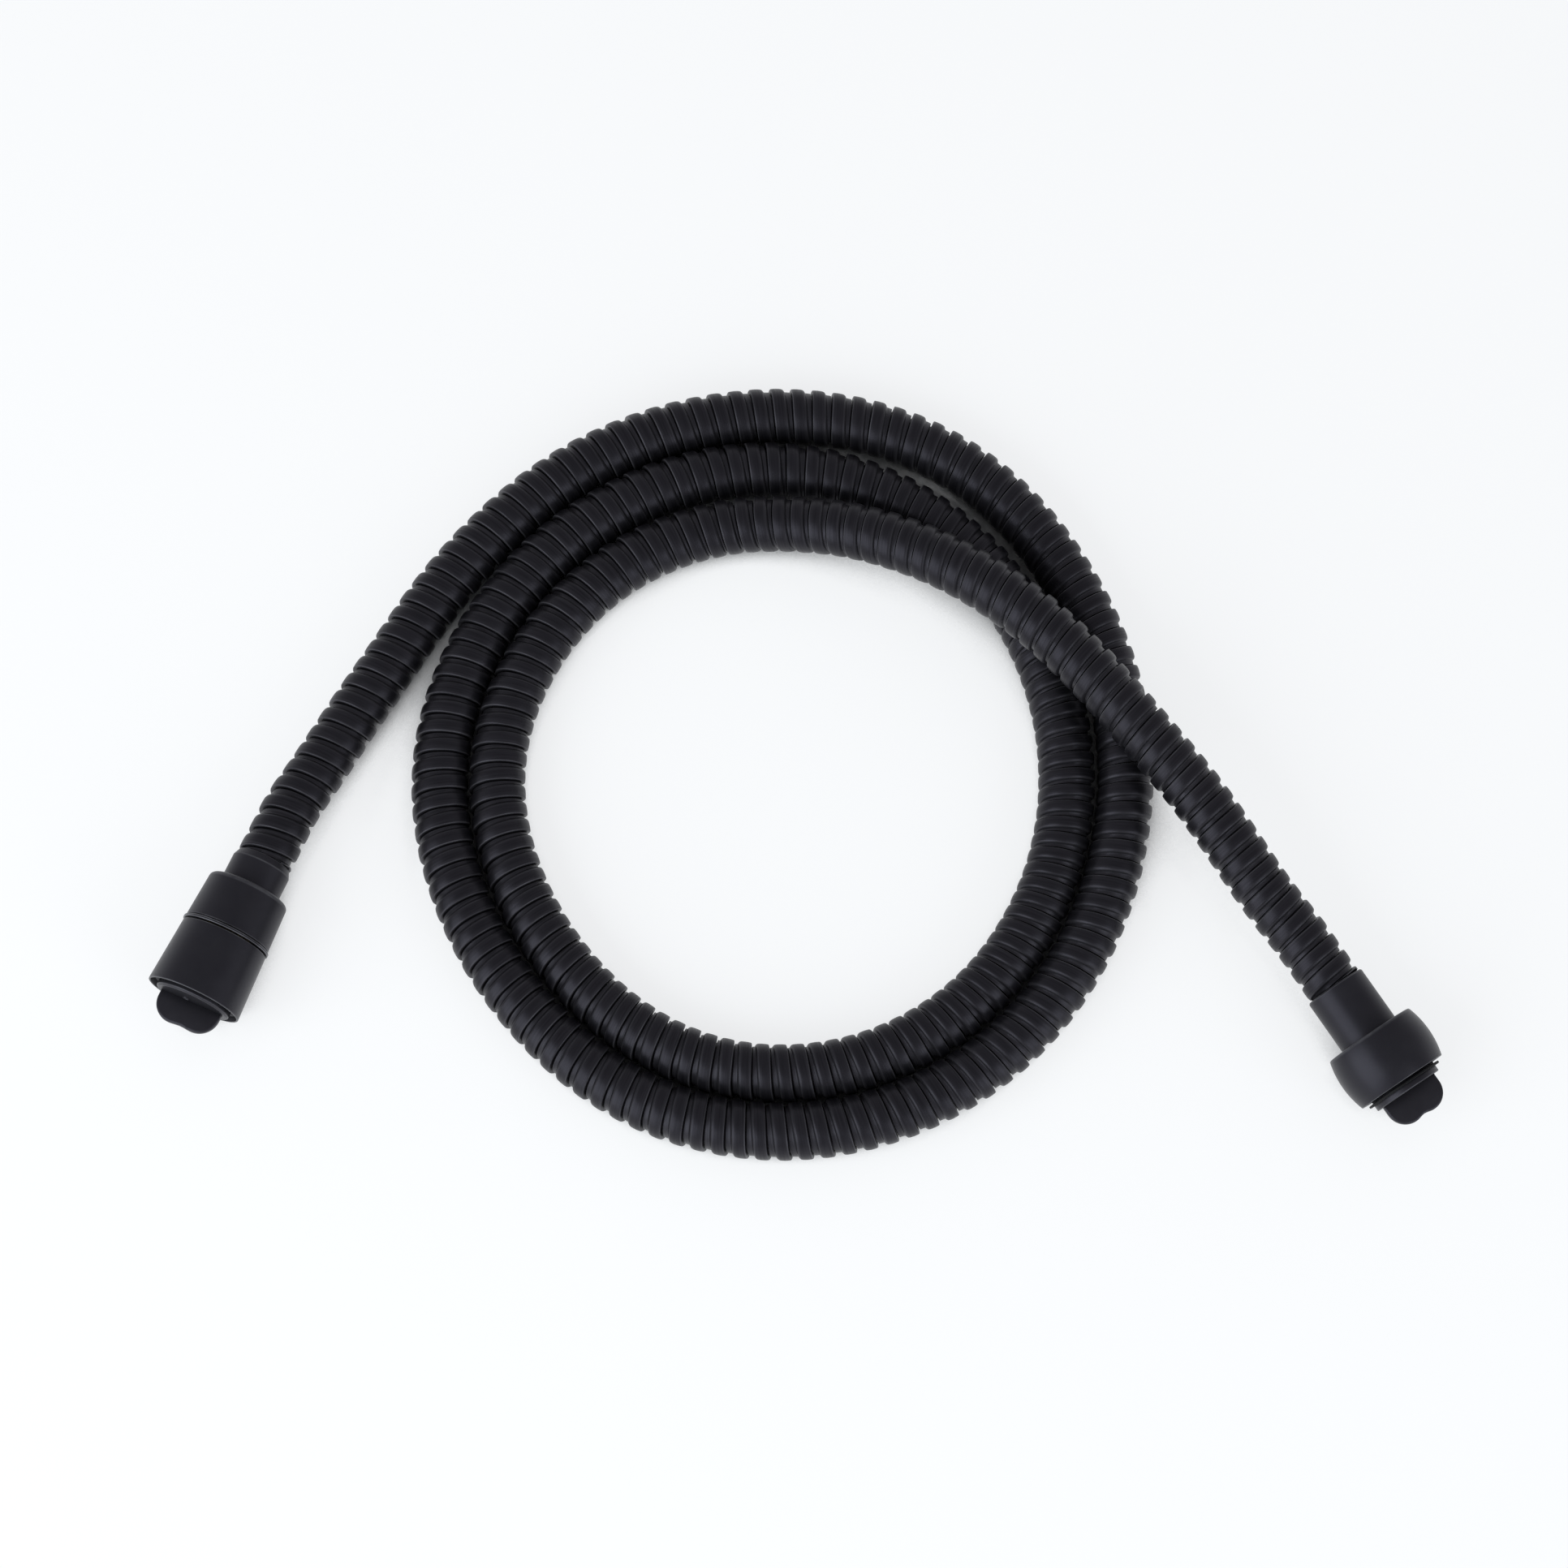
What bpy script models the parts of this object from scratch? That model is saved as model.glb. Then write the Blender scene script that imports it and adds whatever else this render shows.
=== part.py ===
"""Black shower hose lying in a flat two-turn coil, with a swivel cone nut at one end, a barrel nut at the
other and a transit plug in each. Metres, +Z up, standing on Z = 0, origin under its bounding box's middle."""

import math

import bmesh
import bpy
import numpy as np
from mathutils import Matrix, Vector

MM = 0.001

# Clearances
GAP = 0.3 * MM  # between two pieces that touch or run on each other
COIL_GAP = 0.5 * MM  # between two turns that lie side by side

# Hose: spiral strip casing over a smooth liner
HOSE_OD = 14.4 * MM
RIB_DEPTH = 0.8 * MM
RIB_PITCH = 7.9 * MM
RIB_STEP = 0.22  # share of a rib's length that its steep side takes
CASING_WALL = 1.7 * MM  # from the crest of a rib to the bore
LINER_WALL = 1.4 * MM
BORE_STEP = 17.0 * MM  # length of one straight piece of the bores
CRIMP_DEPTH = 0.3 * MM  # how far a ferrule presses the casing in
CRIMP_RUN = 4.0 * MM  # length of hose drawn in before the ferrule's mouth
FLAT_DEPTH = HOSE_OD / 10  # the underside is flat where the hose rests
STRAIGHT_RUN = (1.0, 0.55, 0.2)  # knots of the straight run into each ferrule, in hose diameters

# Coil, measured from its own centre
COIL_CENTRE = Vector((-2.88 * MM, -6.99 * MM, 0.0))
INNER_TURN_R = 74.1 * MM
TURN_PITCH = HOSE_OD + COIL_GAP
LEAD_TURN_R = INNER_TURN_R + 2 * TURN_PITCH
REST_HEIGHT = HOSE_OD / 2 - FLAT_DEPTH

# Plan angles in degrees, clockwise from +Y. The hose runs in at COIL_IN and leaves the coil at COIL_OUT
COIL_IN = -34.0
COIL_OUT = 685.0
COIL_STEP = 14.74
STEP_TO_OUTER = (-12.0, 100.0)
STEP_TO_INNER = (345.0, 452.0)
DENTS = (  # where the turns lie off a true circle: plan angle, half width, offset
    (238.0, 45.0, -2.1 * MM),
    (112.0, 38.0, -1.0 * MM),
    (178.0, 42.0, 0.7 * MM),
)
LEAD_END = 60.0
LEAD_BULGE = (26.0, 34.0, 1.75 * MM)  # up to LEAD_END the first strand has this bulge instead

# End fittings: where each ferrule's mouth lies, as a plan angle and turns out from the inner turn
CONE_MOUTH_PLACE = (261.41, 4.061)
CONE_HEADING = math.radians(246.4)
CONE_TILT = math.radians(3.2)
CONE_NUT_CLEARANCE = 0.48 * MM  # under the nut's rim, off the surface
BARREL_MOUTH_PLACE = (111.05, 5.116)
BARREL_HEADING = math.radians(-56.5)
BARREL_TILT = math.radians(-2.5)
BARREL_NUT_CLEARANCE = 0.05 * MM  # under the nut's belly, off the surface

# Free runs of the hose: plan angle, turns out from the inner turn, and share of the rise to the cone end's
# mouth, or of the rise over the two turns that the other strand crosses
CONE_RUN = (
    (-89.11, 3.243, 0.453),
    (-80.16, 2.660, 0.130),
    (-69.90, 2.255, 0.008),
    (-59.00, 2.085, 0.000),
    (-48.00, 2.015, 0.000),
)
BARREL_RUN = (
    (-19.98, -0.024, 0.035),
    (-8.20, -0.078, 0.113),
    (1.68, -0.152, 0.249),
    (12.49, -0.196, 0.437),
    (24.18, -0.206, 0.650),
    (36.54, -0.137, 0.845),
    (49.34, 0.043, 0.968),
    (61.79, 0.351, 1.000),
    (73.70, 0.789, 0.994),
    (83.57, 1.350, 0.961),
    (91.87, 2.080, 0.864),
    (99.04, 2.880, 0.734),
    (104.91, 3.764, 0.631),
)
CROSSING_CLEARANCE = 1.04 * MM  # between the crossing strand and the turns under it, at its highest

# Ferrules
CONE_FERRULE_WALL = 0.4 * MM
BARREL_FERRULE_WALL = 0.8 * MM
FERRULE_END_WALL = 1.1 * MM
CASING_GRIP = 4.5 * MM  # casing inside the ferrule
MOUTH_ROUND = 0.9 * MM
CRIMP_SLEEVE_WALL = 0.8 * MM

# Nipples and the swivel spindle
NIPPLE_WALL = 0.6 * MM
BARB_DEPTH = 0.35 * MM
BARB_PITCH = 2.6 * MM
SHANK_STEP = 1.5 * MM  # from the barbs up to the shank
SOCKET_R = 5.2 * MM
SOCKET_WALL = 2.2 * MM
SOCKET_DEPTH = 6.6 * MM
SOCKET_FLOOR = 1.0 * MM
NIPPLE_TIP = 0.5 * MM  # reach of a nipple past its ferrule's mouth, into the hose
SPINDLE_SHOULDER = 2.0 * MM
SEAT_CLEARANCE = 0.9 * MM  # from the seat flange to the thread
SEAT_FLANGE_T = 1.6 * MM
O_RING_D = 1.0 * MM
SNAP_RING_D = 0.8 * MM
SNAP_RING_BACK = 1.4 * MM  # from the socket's mouth to the ring
SOCKET_GROOVE = 0.7 * MM
TAIL_GROOVE = 0.5 * MM
RING_SPACING = 1.8 * MM

# G1/2 swivel nuts
THREAD_R = 10.48 * MM
NUT_BACK_WALL = 2.5 * MM
WASHER_T = 2.0 * MM
WASHER_HOLE_R = 5.0 * MM
EDGE_ROUND = 0.5 * MM

# Cone end: rear sleeve, seam ring and nut make one cone
CONE_FERRULE_SHOWS = 8.6 * MM
CONE_LENGTH = 31.9 * MM
CONE_RIM_WALL = 2.02 * MM
CONE_TAPER = 1.75 * MM  # from the back's radius to the rim's
SLEEVE_PAST_SOCKET = 0.9 * MM
SLEEVE_ROUND = 1.2 * MM
SEAM_RING_T = 0.8 * MM
SEAM_RING_PROUD = 0.35 * MM

# Barrel end
BARREL_FERRULE_SHOWS = 14.9 * MM
BARREL_LENGTH = 14.3 * MM
BARREL_RIM_WALL = 1.52 * MM
BARREL_SWELL = 1.2 * MM
BARREL_BACK_WALL = 1.2 * MM
GLIDE_WALL = 0.4 * MM
GLIDE_RING_T = 0.7 * MM

# Transit plugs
PLUG_WALL = 1.3 * MM
PLUG_TAB_T = 2.0 * MM
TAB_LOBE_R = 5.3 * MM
TAB_LOBE_X = 2.8 * MM
CONE_PLUG_RECESS = 0.9 * MM
CONE_TAB_REACH = 7.4 * MM  # past the rim of the nut
BARREL_PLUG_RIDGE = 0.9 * MM  # thread that shows past the nut
BARREL_COLLAR_STEP = 0.43 * MM
BARREL_COLLAR_T = 2.1 * MM
BARREL_TAB_REACH = 9.4 * MM

# Facets and shading
SIDES = 8
HALF_FACET = math.pi / SIDES
NUT_FACETS = 32
INNER_FACETS = 18
RING_FACETS = 6
EDGE_STEPS = 2
SHOULDER_STEPS = 3
BELLY_STEPS = 6
LOBE_STEPS = 7
CASING_SHARP = math.radians(20)
LINER_SHARP = math.radians(50)
TURNED_SHARP = math.radians(30)

# Working limits
WELD = 0.001 * MM
CUT_PAST = 1.0 * MM  # reach of a cutter past the piece it cuts
SPLINE_POINTS = 6000
NEIGHBOUR_RUN = 4 * HOSE_OD  # stretches of hose closer along it than this aren't measured for a gap

# Radii that follow from the sizes above
CREST_R = HOSE_OD / 2
CRIMPED_R = CREST_R - CRIMP_DEPTH
CASING_BORE_R = CREST_R - CASING_WALL
LINER_R = CASING_BORE_R - GAP / math.cos(HALF_FACET)
LINER_BORE_R = LINER_R - LINER_WALL
BARB_R = LINER_BORE_R * math.cos(HALF_FACET) - GAP
WATERWAY_R = BARB_R - BARB_DEPTH - NIPPLE_WALL
SHANK_R = BARB_R + SHANK_STEP
SLEEVE_BORE_R = LINER_R + GAP
FERRULE_BORE_R = CRIMPED_R + GAP
CONE_FERRULE_R = FERRULE_BORE_R + CONE_FERRULE_WALL
BARREL_FERRULE_R = FERRULE_BORE_R + BARREL_FERRULE_WALL
SHANK_HOLE_R = SHANK_R + GAP
SOCKET_OUTER_R = SOCKET_R + SOCKET_WALL
TAIL_R = SOCKET_R - GAP
SPINDLE_R = TAIL_R + SPINDLE_SHOULDER
SEAT_FLANGE_R = THREAD_R - SEAT_CLEARANCE
WASHER_R = THREAD_R - GAP
PLUG_R = THREAD_R - GAP
CONE_RIM_R = THREAD_R + CONE_RIM_WALL
CONE_BACK_R = CONE_RIM_R - CONE_TAPER
BARREL_END_R = THREAD_R + BARREL_RIM_WALL
BARREL_BELLY_R = BARREL_END_R + BARREL_SWELL
GLIDE_HAT_R = BARREL_FERRULE_R + GAP + GLIDE_WALL
BARREL_HOLE_R = GLIDE_HAT_R + GAP
BARREL_COLLAR_R = PLUG_R - BARREL_COLLAR_STEP

# Stations along the cone end's axis, from the ferrule's mouth
CONE_LINER_END = 11.3 * MM
CONE_FERRULE_WALL_AT = CONE_LINER_END + GAP
CONE_SOCKET_AT = CONE_FERRULE_WALL_AT + FERRULE_END_WALL + GAP
CONE_SOCKET_END = CONE_SOCKET_AT + SOCKET_FLOOR + SOCKET_DEPTH
SLEEVE_END = CONE_SOCKET_END + SLEEVE_PAST_SOCKET
SLEEVE_LENGTH = SLEEVE_END - CONE_FERRULE_SHOWS
SEAM_RING_AT = SLEEVE_END + GAP
CONE_NUT_AT = SEAM_RING_AT + SEAM_RING_T + GAP
CONE_RIM_AT = CONE_FERRULE_SHOWS + CONE_LENGTH
CONE_FLANGE_AT = CONE_NUT_AT + NUT_BACK_WALL + GAP
CONE_WASHER_AT = CONE_FLANGE_AT + SEAT_FLANGE_T + GAP
CONE_PLUG_AT = CONE_WASHER_AT + WASHER_T + GAP

# Stations along the barrel end's axis, from the ferrule's mouth
BARREL_RIM_AT = BARREL_FERRULE_SHOWS + BARREL_LENGTH
GLIDE_RING_AT = BARREL_FERRULE_SHOWS + BARREL_BACK_WALL + GAP
BARREL_FLANGE_AT = GLIDE_RING_AT + GLIDE_RING_T + GAP
BARREL_FERRULE_END = BARREL_FLANGE_AT - GAP
BARREL_LINER_END = BARREL_FERRULE_END - FERRULE_END_WALL - GAP
BARREL_WASHER_AT = BARREL_FLANGE_AT + SEAT_FLANGE_T + GAP
BARREL_PLUG_AT = BARREL_WASHER_AT + WASHER_T + GAP
BARREL_BELLY_AT = BARREL_FERRULE_SHOWS + BARREL_LENGTH / 2

# Heights of the two mouths, with the nuts lying on the surface, and of the crossing
CONE_MOUTH_HEIGHT = (
    CONE_NUT_CLEARANCE + CONE_RIM_R * math.cos(CONE_TILT) - CONE_RIM_AT * math.sin(CONE_TILT)
)
BARREL_MOUTH_HEIGHT = (
    BARREL_NUT_CLEARANCE + BARREL_BELLY_R * math.cos(BARREL_TILT) - BARREL_BELLY_AT * math.sin(BARREL_TILT)
)
CONE_RISE = CONE_MOUTH_HEIGHT - REST_HEIGHT
CROSSING_RISE = HOSE_OD + CROSSING_CLEARANCE


# ---------------------------------------------------------------- scene and materials


def clear_scene():
    for obj in list(bpy.data.objects):
        bpy.data.objects.remove(obj)


def make_material(name, colour, roughness, metallic):
    material = bpy.data.materials.new(name)
    material.use_nodes = True
    shader = material.node_tree.nodes["Principled BSDF"]
    shader.inputs["Base Color"].default_value = (*colour, 1.0)
    shader.inputs["Roughness"].default_value = roughness
    shader.inputs["Metallic"].default_value = metallic
    return material


def black_casing():
    return make_material("black_casing", (0.024, 0.024, 0.027), 0.48, 0.6)


def black_fitting():
    return make_material("black_fitting", (0.032, 0.033, 0.036), 0.55, 0.4)


def black_plastic():
    return make_material("black_plastic", (0.014, 0.014, 0.016), 0.5, 0.0)


def grey_liner():
    return make_material("grey_liner", (0.32, 0.33, 0.34), 0.45, 0.0)


def brass():
    return make_material("brass", (0.72, 0.52, 0.24), 0.3, 1.0)


def steel():
    return make_material("steel", (0.62, 0.62, 0.63), 0.3, 1.0)


def black_rubber():
    return make_material("black_rubber", (0.02, 0.02, 0.02), 0.75, 0.0)


def white_acetal():
    return make_material("white_acetal", (0.8, 0.8, 0.77), 0.4, 0.0)


# ---------------------------------------------------------------- route of the hose


def smooth(x):
    x = min(max(x, 0.0), 1.0)
    return x * x * (3 - 2 * x)


def bump(x):
    return (1 + math.cos(math.pi * x)) / 2 if abs(x) < 1 else 0.0


def step(angle, bounds):
    return smooth((angle - bounds[0]) / (bounds[1] - bounds[0]))


def turn_radius(angle):
    """Plan radius of the coil: it steps in by one pitch twice, and both turns share the same dents."""
    radius = LEAD_TURN_R - TURN_PITCH * (step(angle, STEP_TO_OUTER) + step(angle, STEP_TO_INNER))
    dents = DENTS if angle > LEAD_END else (LEAD_BULGE,)
    return radius + sum(depth * bump(((angle - at + 180) % 360 - 180) / width) for at, width, depth in dents)


def plan_point(angle, radius, height):
    turn = math.radians(angle)
    return COIL_CENTRE + Vector((radius * math.sin(turn), radius * math.cos(turn), height))


def coil_points():
    count = round((COIL_OUT - COIL_IN) / COIL_STEP)
    angles = [COIL_IN + (COIL_OUT - COIL_IN) * i / count for i in range(count + 1)]
    return [plan_point(angle, turn_radius(angle), REST_HEIGHT) for angle in angles]


def run_points(places, rise):
    return [
        plan_point(angle, INNER_TURN_R + TURN_PITCH * turns, REST_HEIGHT + rise * share)
        for angle, turns, share in places
    ]


def mouth(place, height):
    angle, turns = place
    return plan_point(angle, INNER_TURN_R + TURN_PITCH * turns, height)


def cone_mouth():
    return mouth(CONE_MOUTH_PLACE, CONE_MOUTH_HEIGHT)


def barrel_mouth():
    return mouth(BARREL_MOUTH_PLACE, BARREL_MOUTH_HEIGHT)


def axis_of(heading, tilt):
    return Vector(
        (
            math.cos(heading) * math.cos(tilt),
            math.sin(heading) * math.cos(tilt),
            math.sin(tilt),
        )
    )


def natural_spline(knots, shares):
    """Points at these shares of the length of a smooth curve through the knots, and that length."""
    knots = np.array([tuple(k) for k in knots])
    last = len(knots) - 1
    span = np.linalg.norm(np.diff(knots, axis=0), axis=1)
    matrix = np.eye(last + 1)
    bends = np.zeros_like(knots)
    for i in range(1, last):
        matrix[i, i - 1 : i + 2] = (span[i - 1], 2 * (span[i - 1] + span[i]), span[i])
        bends[i] = 6 * ((knots[i + 1] - knots[i]) / span[i] - (knots[i] - knots[i - 1]) / span[i - 1])
    second = np.linalg.solve(matrix, bends)
    start = np.concatenate([[0.0], np.cumsum(span)])

    def at(distance):
        i = np.clip(np.searchsorted(start, distance) - 1, 0, last - 1)
        h = span[i][:, None]
        a = (start[i + 1] - distance)[:, None]
        b = (distance - start[i])[:, None]
        cubic = (second[i] * a**3 + second[i + 1] * b**3) / (6 * h)
        line = (knots[i] / h - second[i] * h / 6) * a + (knots[i + 1] / h - second[i + 1] * h / 6) * b
        return cubic + line

    dense = np.linspace(0.0, start[-1], SPLINE_POINTS)
    run = np.linalg.norm(np.diff(at(dense), axis=0), axis=1)
    length = np.concatenate([[0.0], np.cumsum(run)])
    return at(np.interp(np.asarray(shares) * length[-1], length, dense)), length[-1]


def even_points(knots, spacing):
    """Points about that far apart along the curve through the knots."""
    length = natural_spline(knots, (0.0, 1.0))[1]
    return natural_spline(knots, np.linspace(0.0, 1.0, round(length / spacing) + 1))[0]


def hose_knots(cone_end, barrel_end):
    """The hose's route from inside the cone end's ferrule to inside the barrel end's, straight at both."""
    cone_axis = axis_of(CONE_HEADING, CONE_TILT)
    barrel_axis = axis_of(BARREL_HEADING, BARREL_TILT)
    knots = [cone_mouth() + cone_axis * cone_end]
    knots += [cone_mouth() - cone_axis * HOSE_OD * share for share in reversed(STRAIGHT_RUN)]
    knots += run_points(CONE_RUN, CONE_RISE)
    knots += coil_points()
    knots += run_points(BARREL_RUN, CROSSING_RISE)
    knots += [barrel_mouth() - barrel_axis * HOSE_OD * share for share in STRAIGHT_RUN]
    knots += [barrel_mouth() + barrel_axis * barrel_end]
    return knots


def least_gap(points):
    """Least distance between the surfaces of two stretches of hose that aren't neighbours along it."""
    spacing = np.linalg.norm(points[1] - points[0])
    skip = int(NEIGHBOUR_RUN / spacing)
    least = math.inf
    for i in range(len(points) - skip):
        apart = np.linalg.norm(points[i + skip :] - points[i], axis=1).min()
        least = min(least, apart)
    return least - HOSE_OD


# ---------------------------------------------------------------- tubes


def tube(name, points, radii):
    """A tube of eight sides along the points, with flats below, above and at both sides of it."""
    curve = bpy.data.curves.new(name, "CURVE")
    curve.dimensions = "3D"
    curve.twist_mode = "Z_UP"
    curve.bevel_depth = 1.0
    curve.bevel_resolution = (SIDES - 4) // 2
    curve.use_fill_caps = True
    spline = curve.splines.new("POLY")
    spline.points.add(len(points) - 1)
    for target, point, radius in zip(spline.points, points, radii):
        target.co = (*point, 1.0)
        target.radius = radius
        target.tilt = HALF_FACET
    guide = bpy.data.objects.new(name + "_guide", curve)
    bpy.context.collection.objects.link(guide)
    bpy.context.view_layer.update()
    mesh = bpy.data.meshes.new_from_object(guide.evaluated_get(bpy.context.evaluated_depsgraph_get()))
    bpy.data.objects.remove(guide)
    mesh.name = name
    weld(mesh)
    obj = bpy.data.objects.new(name, mesh)
    bpy.context.collection.objects.link(obj)
    return obj


def weld(mesh):
    body = bmesh.new()
    body.from_mesh(mesh)
    bmesh.ops.remove_doubles(body, verts=body.verts, dist=WELD)
    bmesh.ops.recalc_face_normals(body, faces=body.faces)
    body.to_mesh(mesh)
    body.free()


def cut(obj, cutter):
    modifier = obj.modifiers.new("cut_" + cutter.name, "BOOLEAN")
    modifier.operation = "DIFFERENCE"
    modifier.solver = "EXACT"
    modifier.object = cutter
    hide(cutter)


def hide(guide):
    guide.hide_render = True
    guide.display_type = "WIRE"


def crest_radius(distance, length):
    """Crest radius of the casing, which the ferrules press in at both ends."""
    drawn_in = CASING_GRIP + CRIMP_RUN
    return CRIMPED_R if min(distance, length - distance) < drawn_in else CREST_R


def make_casing(material):
    """The spiral strip casing: a steep step and a long slope for each rib, pressed flat where it rests."""
    knots = hose_knots(CASING_GRIP, CASING_GRIP)
    length = natural_spline(knots, (0.0, 1.0))[1]
    ribs = round(length / RIB_PITCH)
    shares = [0.0]
    for rib in range(ribs):
        shares += [(rib + RIB_STEP) / ribs, (rib + 1.0) / ribs]
    points = natural_spline(knots, shares)[0]
    radii = []
    for i, share in enumerate(shares):
        depth = RIB_DEPTH if i % 2 == 0 else 0.0
        radii.append(crest_radius(share * length, length) - depth)
    casing = tube("spiral_casing", points, radii)
    for vertex in casing.data.vertices:
        vertex.co.z = max(vertex.co.z, 0.0)
    casing.data.materials.append(material)
    casing.data.shade_smooth()
    casing.data.set_sharp_from_angle(angle=CASING_SHARP)
    gap = least_gap(even_points(knots, RIB_PITCH / 2))
    print(f"hose: {length / MM:.1f} mm long, {ribs} ribs, least gap to itself {gap / MM:.2f} mm")
    return casing


def bore_points(cone_end, barrel_end):
    return even_points(hose_knots(cone_end, barrel_end), BORE_STEP)


def make_liner(material):
    points = bore_points(CONE_LINER_END, BARREL_LINER_END)
    liner = tube("inner_tube", points, [LINER_R] * len(points))
    liner.data.materials.append(material)
    liner.data.shade_smooth()
    liner.data.set_sharp_from_angle(angle=LINER_SHARP)
    longer = bore_points(CONE_LINER_END + CUT_PAST, BARREL_LINER_END + CUT_PAST)
    cut(liner, tube("inner_tube_bore", longer, [LINER_BORE_R] * len(longer)))
    return liner


def bore_casing(casing):
    points = bore_points(CONE_LINER_END, BARREL_LINER_END)
    cut(casing, tube("casing_bore", points, [CASING_BORE_R] * len(points)))


# ---------------------------------------------------------------- turned pieces


def end_frame(name, start, heading, tilt):
    """An empty at a ferrule's mouth: its Z runs out along the fitting's axis, its X is level."""
    out = axis_of(heading, tilt)
    side = Vector((0, 0, 1)).cross(out).normalized()
    up = out.cross(side)
    empty = bpy.data.objects.new(name, None)
    bpy.context.collection.objects.link(empty)
    turn = Matrix((side, up, out)).transposed()
    empty.rotation_euler = turn.to_euler()
    empty.location = start
    return empty


def place(obj, parent, station, material):
    obj.parent = parent
    obj.location = (0.0, 0.0, station)
    obj.data.materials.append(material)
    obj.data.shade_smooth()
    obj.data.set_sharp_from_angle(angle=TURNED_SHARP)
    return obj


def turned(name, profile, facets):
    """A closed outline of (radius, height) points spun about Z."""
    body = bmesh.new()
    loop = [body.verts.new((radius, 0.0, height)) for radius, height in profile]
    edges = [body.edges.new((loop[i], loop[(i + 1) % len(loop)])) for i in range(len(loop))]
    on_axis = [edge for edge in edges if all(abs(vertex.co.x) < WELD for vertex in edge.verts)]
    for edge in on_axis:
        body.edges.remove(edge)
    bmesh.ops.spin(
        body,
        geom=[edge for edge in edges if edge.is_valid] + loop,
        cent=(0, 0, 0),
        axis=(0, 0, 1),
        angle=2 * math.pi,
        steps=facets,
        use_merge=True,
    )
    bmesh.ops.remove_doubles(body, verts=body.verts, dist=WELD)
    bmesh.ops.recalc_face_normals(body, faces=body.faces)
    mesh = bpy.data.meshes.new(name)
    body.to_mesh(mesh)
    body.free()
    obj = bpy.data.objects.new(name, mesh)
    bpy.context.collection.objects.link(obj)
    return obj


def arc(centre, radius, start, end, steps):
    """Points of an arc in (radius, height), angles in degrees from the outward direction."""
    points = []
    for i in range(steps + 1):
        angle = math.radians(start + (end - start) * i / steps)
        points.append((centre[0] + radius * math.cos(angle), centre[1] + radius * math.sin(angle)))
    return points


def ring_section(centre_r, diameter):
    """Outline of a round wire ring."""
    steps = RING_FACETS
    return arc((centre_r, 0.0), diameter / 2, 0, 360 - 360 / steps, steps - 1)


def make_ferrule(name, outer_r, bore_steps, end, facets):
    """A thin cup over the hose's end, its mouth rounded and its end wall pierced for the nipple.
    bore_steps holds (radius, how far that bore reaches) from the mouth inwards."""
    inside = bore_steps[0][0] - (outer_r - MOUTH_ROUND)
    lip = math.degrees(math.acos(inside / MOUTH_ROUND))
    profile = [(outer_r, end)]
    profile += arc((outer_r - MOUTH_ROUND, MOUTH_ROUND), MOUTH_ROUND, 0, -lip, SHOULDER_STEPS)
    for i, (radius, reach) in enumerate(bore_steps):
        profile.append((radius, reach))
        if i + 1 < len(bore_steps):
            profile.append((bore_steps[i + 1][0], reach))
    profile += [(SHANK_HOLE_R, bore_steps[-1][1]), (SHANK_HOLE_R, end)]
    return turned(name, profile, facets)


def barb_points(start, end):
    """The nipple's outer side inside the liner, from its tip at start to its root at end: saw-tooth barbs."""
    points = [(BARB_R - BARB_DEPTH, start)]
    count = max(1, int((end - start) / BARB_PITCH))
    pitch = (end - start) / count
    for i in range(count):
        points.append((BARB_R, start + pitch * (i + 1)))
        points.append((BARB_R - BARB_DEPTH, start + pitch * (i + 1)))
    return points[:-1]


# ---------------------------------------------------------------- cone end


def cone_radius(station):
    share = (station - CONE_FERRULE_SHOWS) / CONE_LENGTH
    return CONE_BACK_R + (CONE_RIM_R - CONE_BACK_R) * share


def make_cone_ferrule():
    steps = ((FERRULE_BORE_R, CONE_FERRULE_WALL_AT),)
    end = CONE_FERRULE_WALL_AT + FERRULE_END_WALL
    return make_ferrule("cone_end_ferrule", CONE_FERRULE_R, steps, end, NUT_FACETS)


def make_crimp_sleeve(name, length):
    outer = SLEEVE_BORE_R + CRIMP_SLEEVE_WALL
    outline = [(outer, 0.0), (outer, length), (SLEEVE_BORE_R, length), (SLEEVE_BORE_R, 0.0)]
    return turned(name, outline, INNER_FACETS)


def snap_groove_station():
    """Where the snap ring lies, behind the socket's mouth."""
    return SOCKET_FLOOR + SOCKET_DEPTH - SNAP_RING_BACK


def make_cone_nipple():
    """Barbed in the liner, shouldered on the ferrule, with a socket in front that the spindle turns in."""
    back = -(CONE_SOCKET_AT + NIPPLE_TIP)
    end = SOCKET_FLOOR + SOCKET_DEPTH
    snap = snap_groove_station()
    half = SNAP_RING_D / 2 + GAP
    groove_r = SOCKET_R + SOCKET_GROOVE
    profile = [(WATERWAY_R, back)]
    profile += barb_points(back, CONE_LINER_END - CONE_SOCKET_AT)
    profile += [
        (BARB_R, CONE_LINER_END - CONE_SOCKET_AT + GAP),
        (SHANK_R, CONE_LINER_END - CONE_SOCKET_AT + GAP),
        (SHANK_R, 0.0),
        (SOCKET_OUTER_R, 0.0),
        (SOCKET_OUTER_R, end),
        (SOCKET_R, end),
        (SOCKET_R, snap + half),
        (groove_r, snap + half),
        (groove_r, snap - half),
        (SOCKET_R, snap - half),
        (SOCKET_R, SOCKET_FLOOR),
        (WATERWAY_R, SOCKET_FLOOR),
    ]
    return turned("cone_end_nipple", profile, INNER_FACETS)


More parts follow.
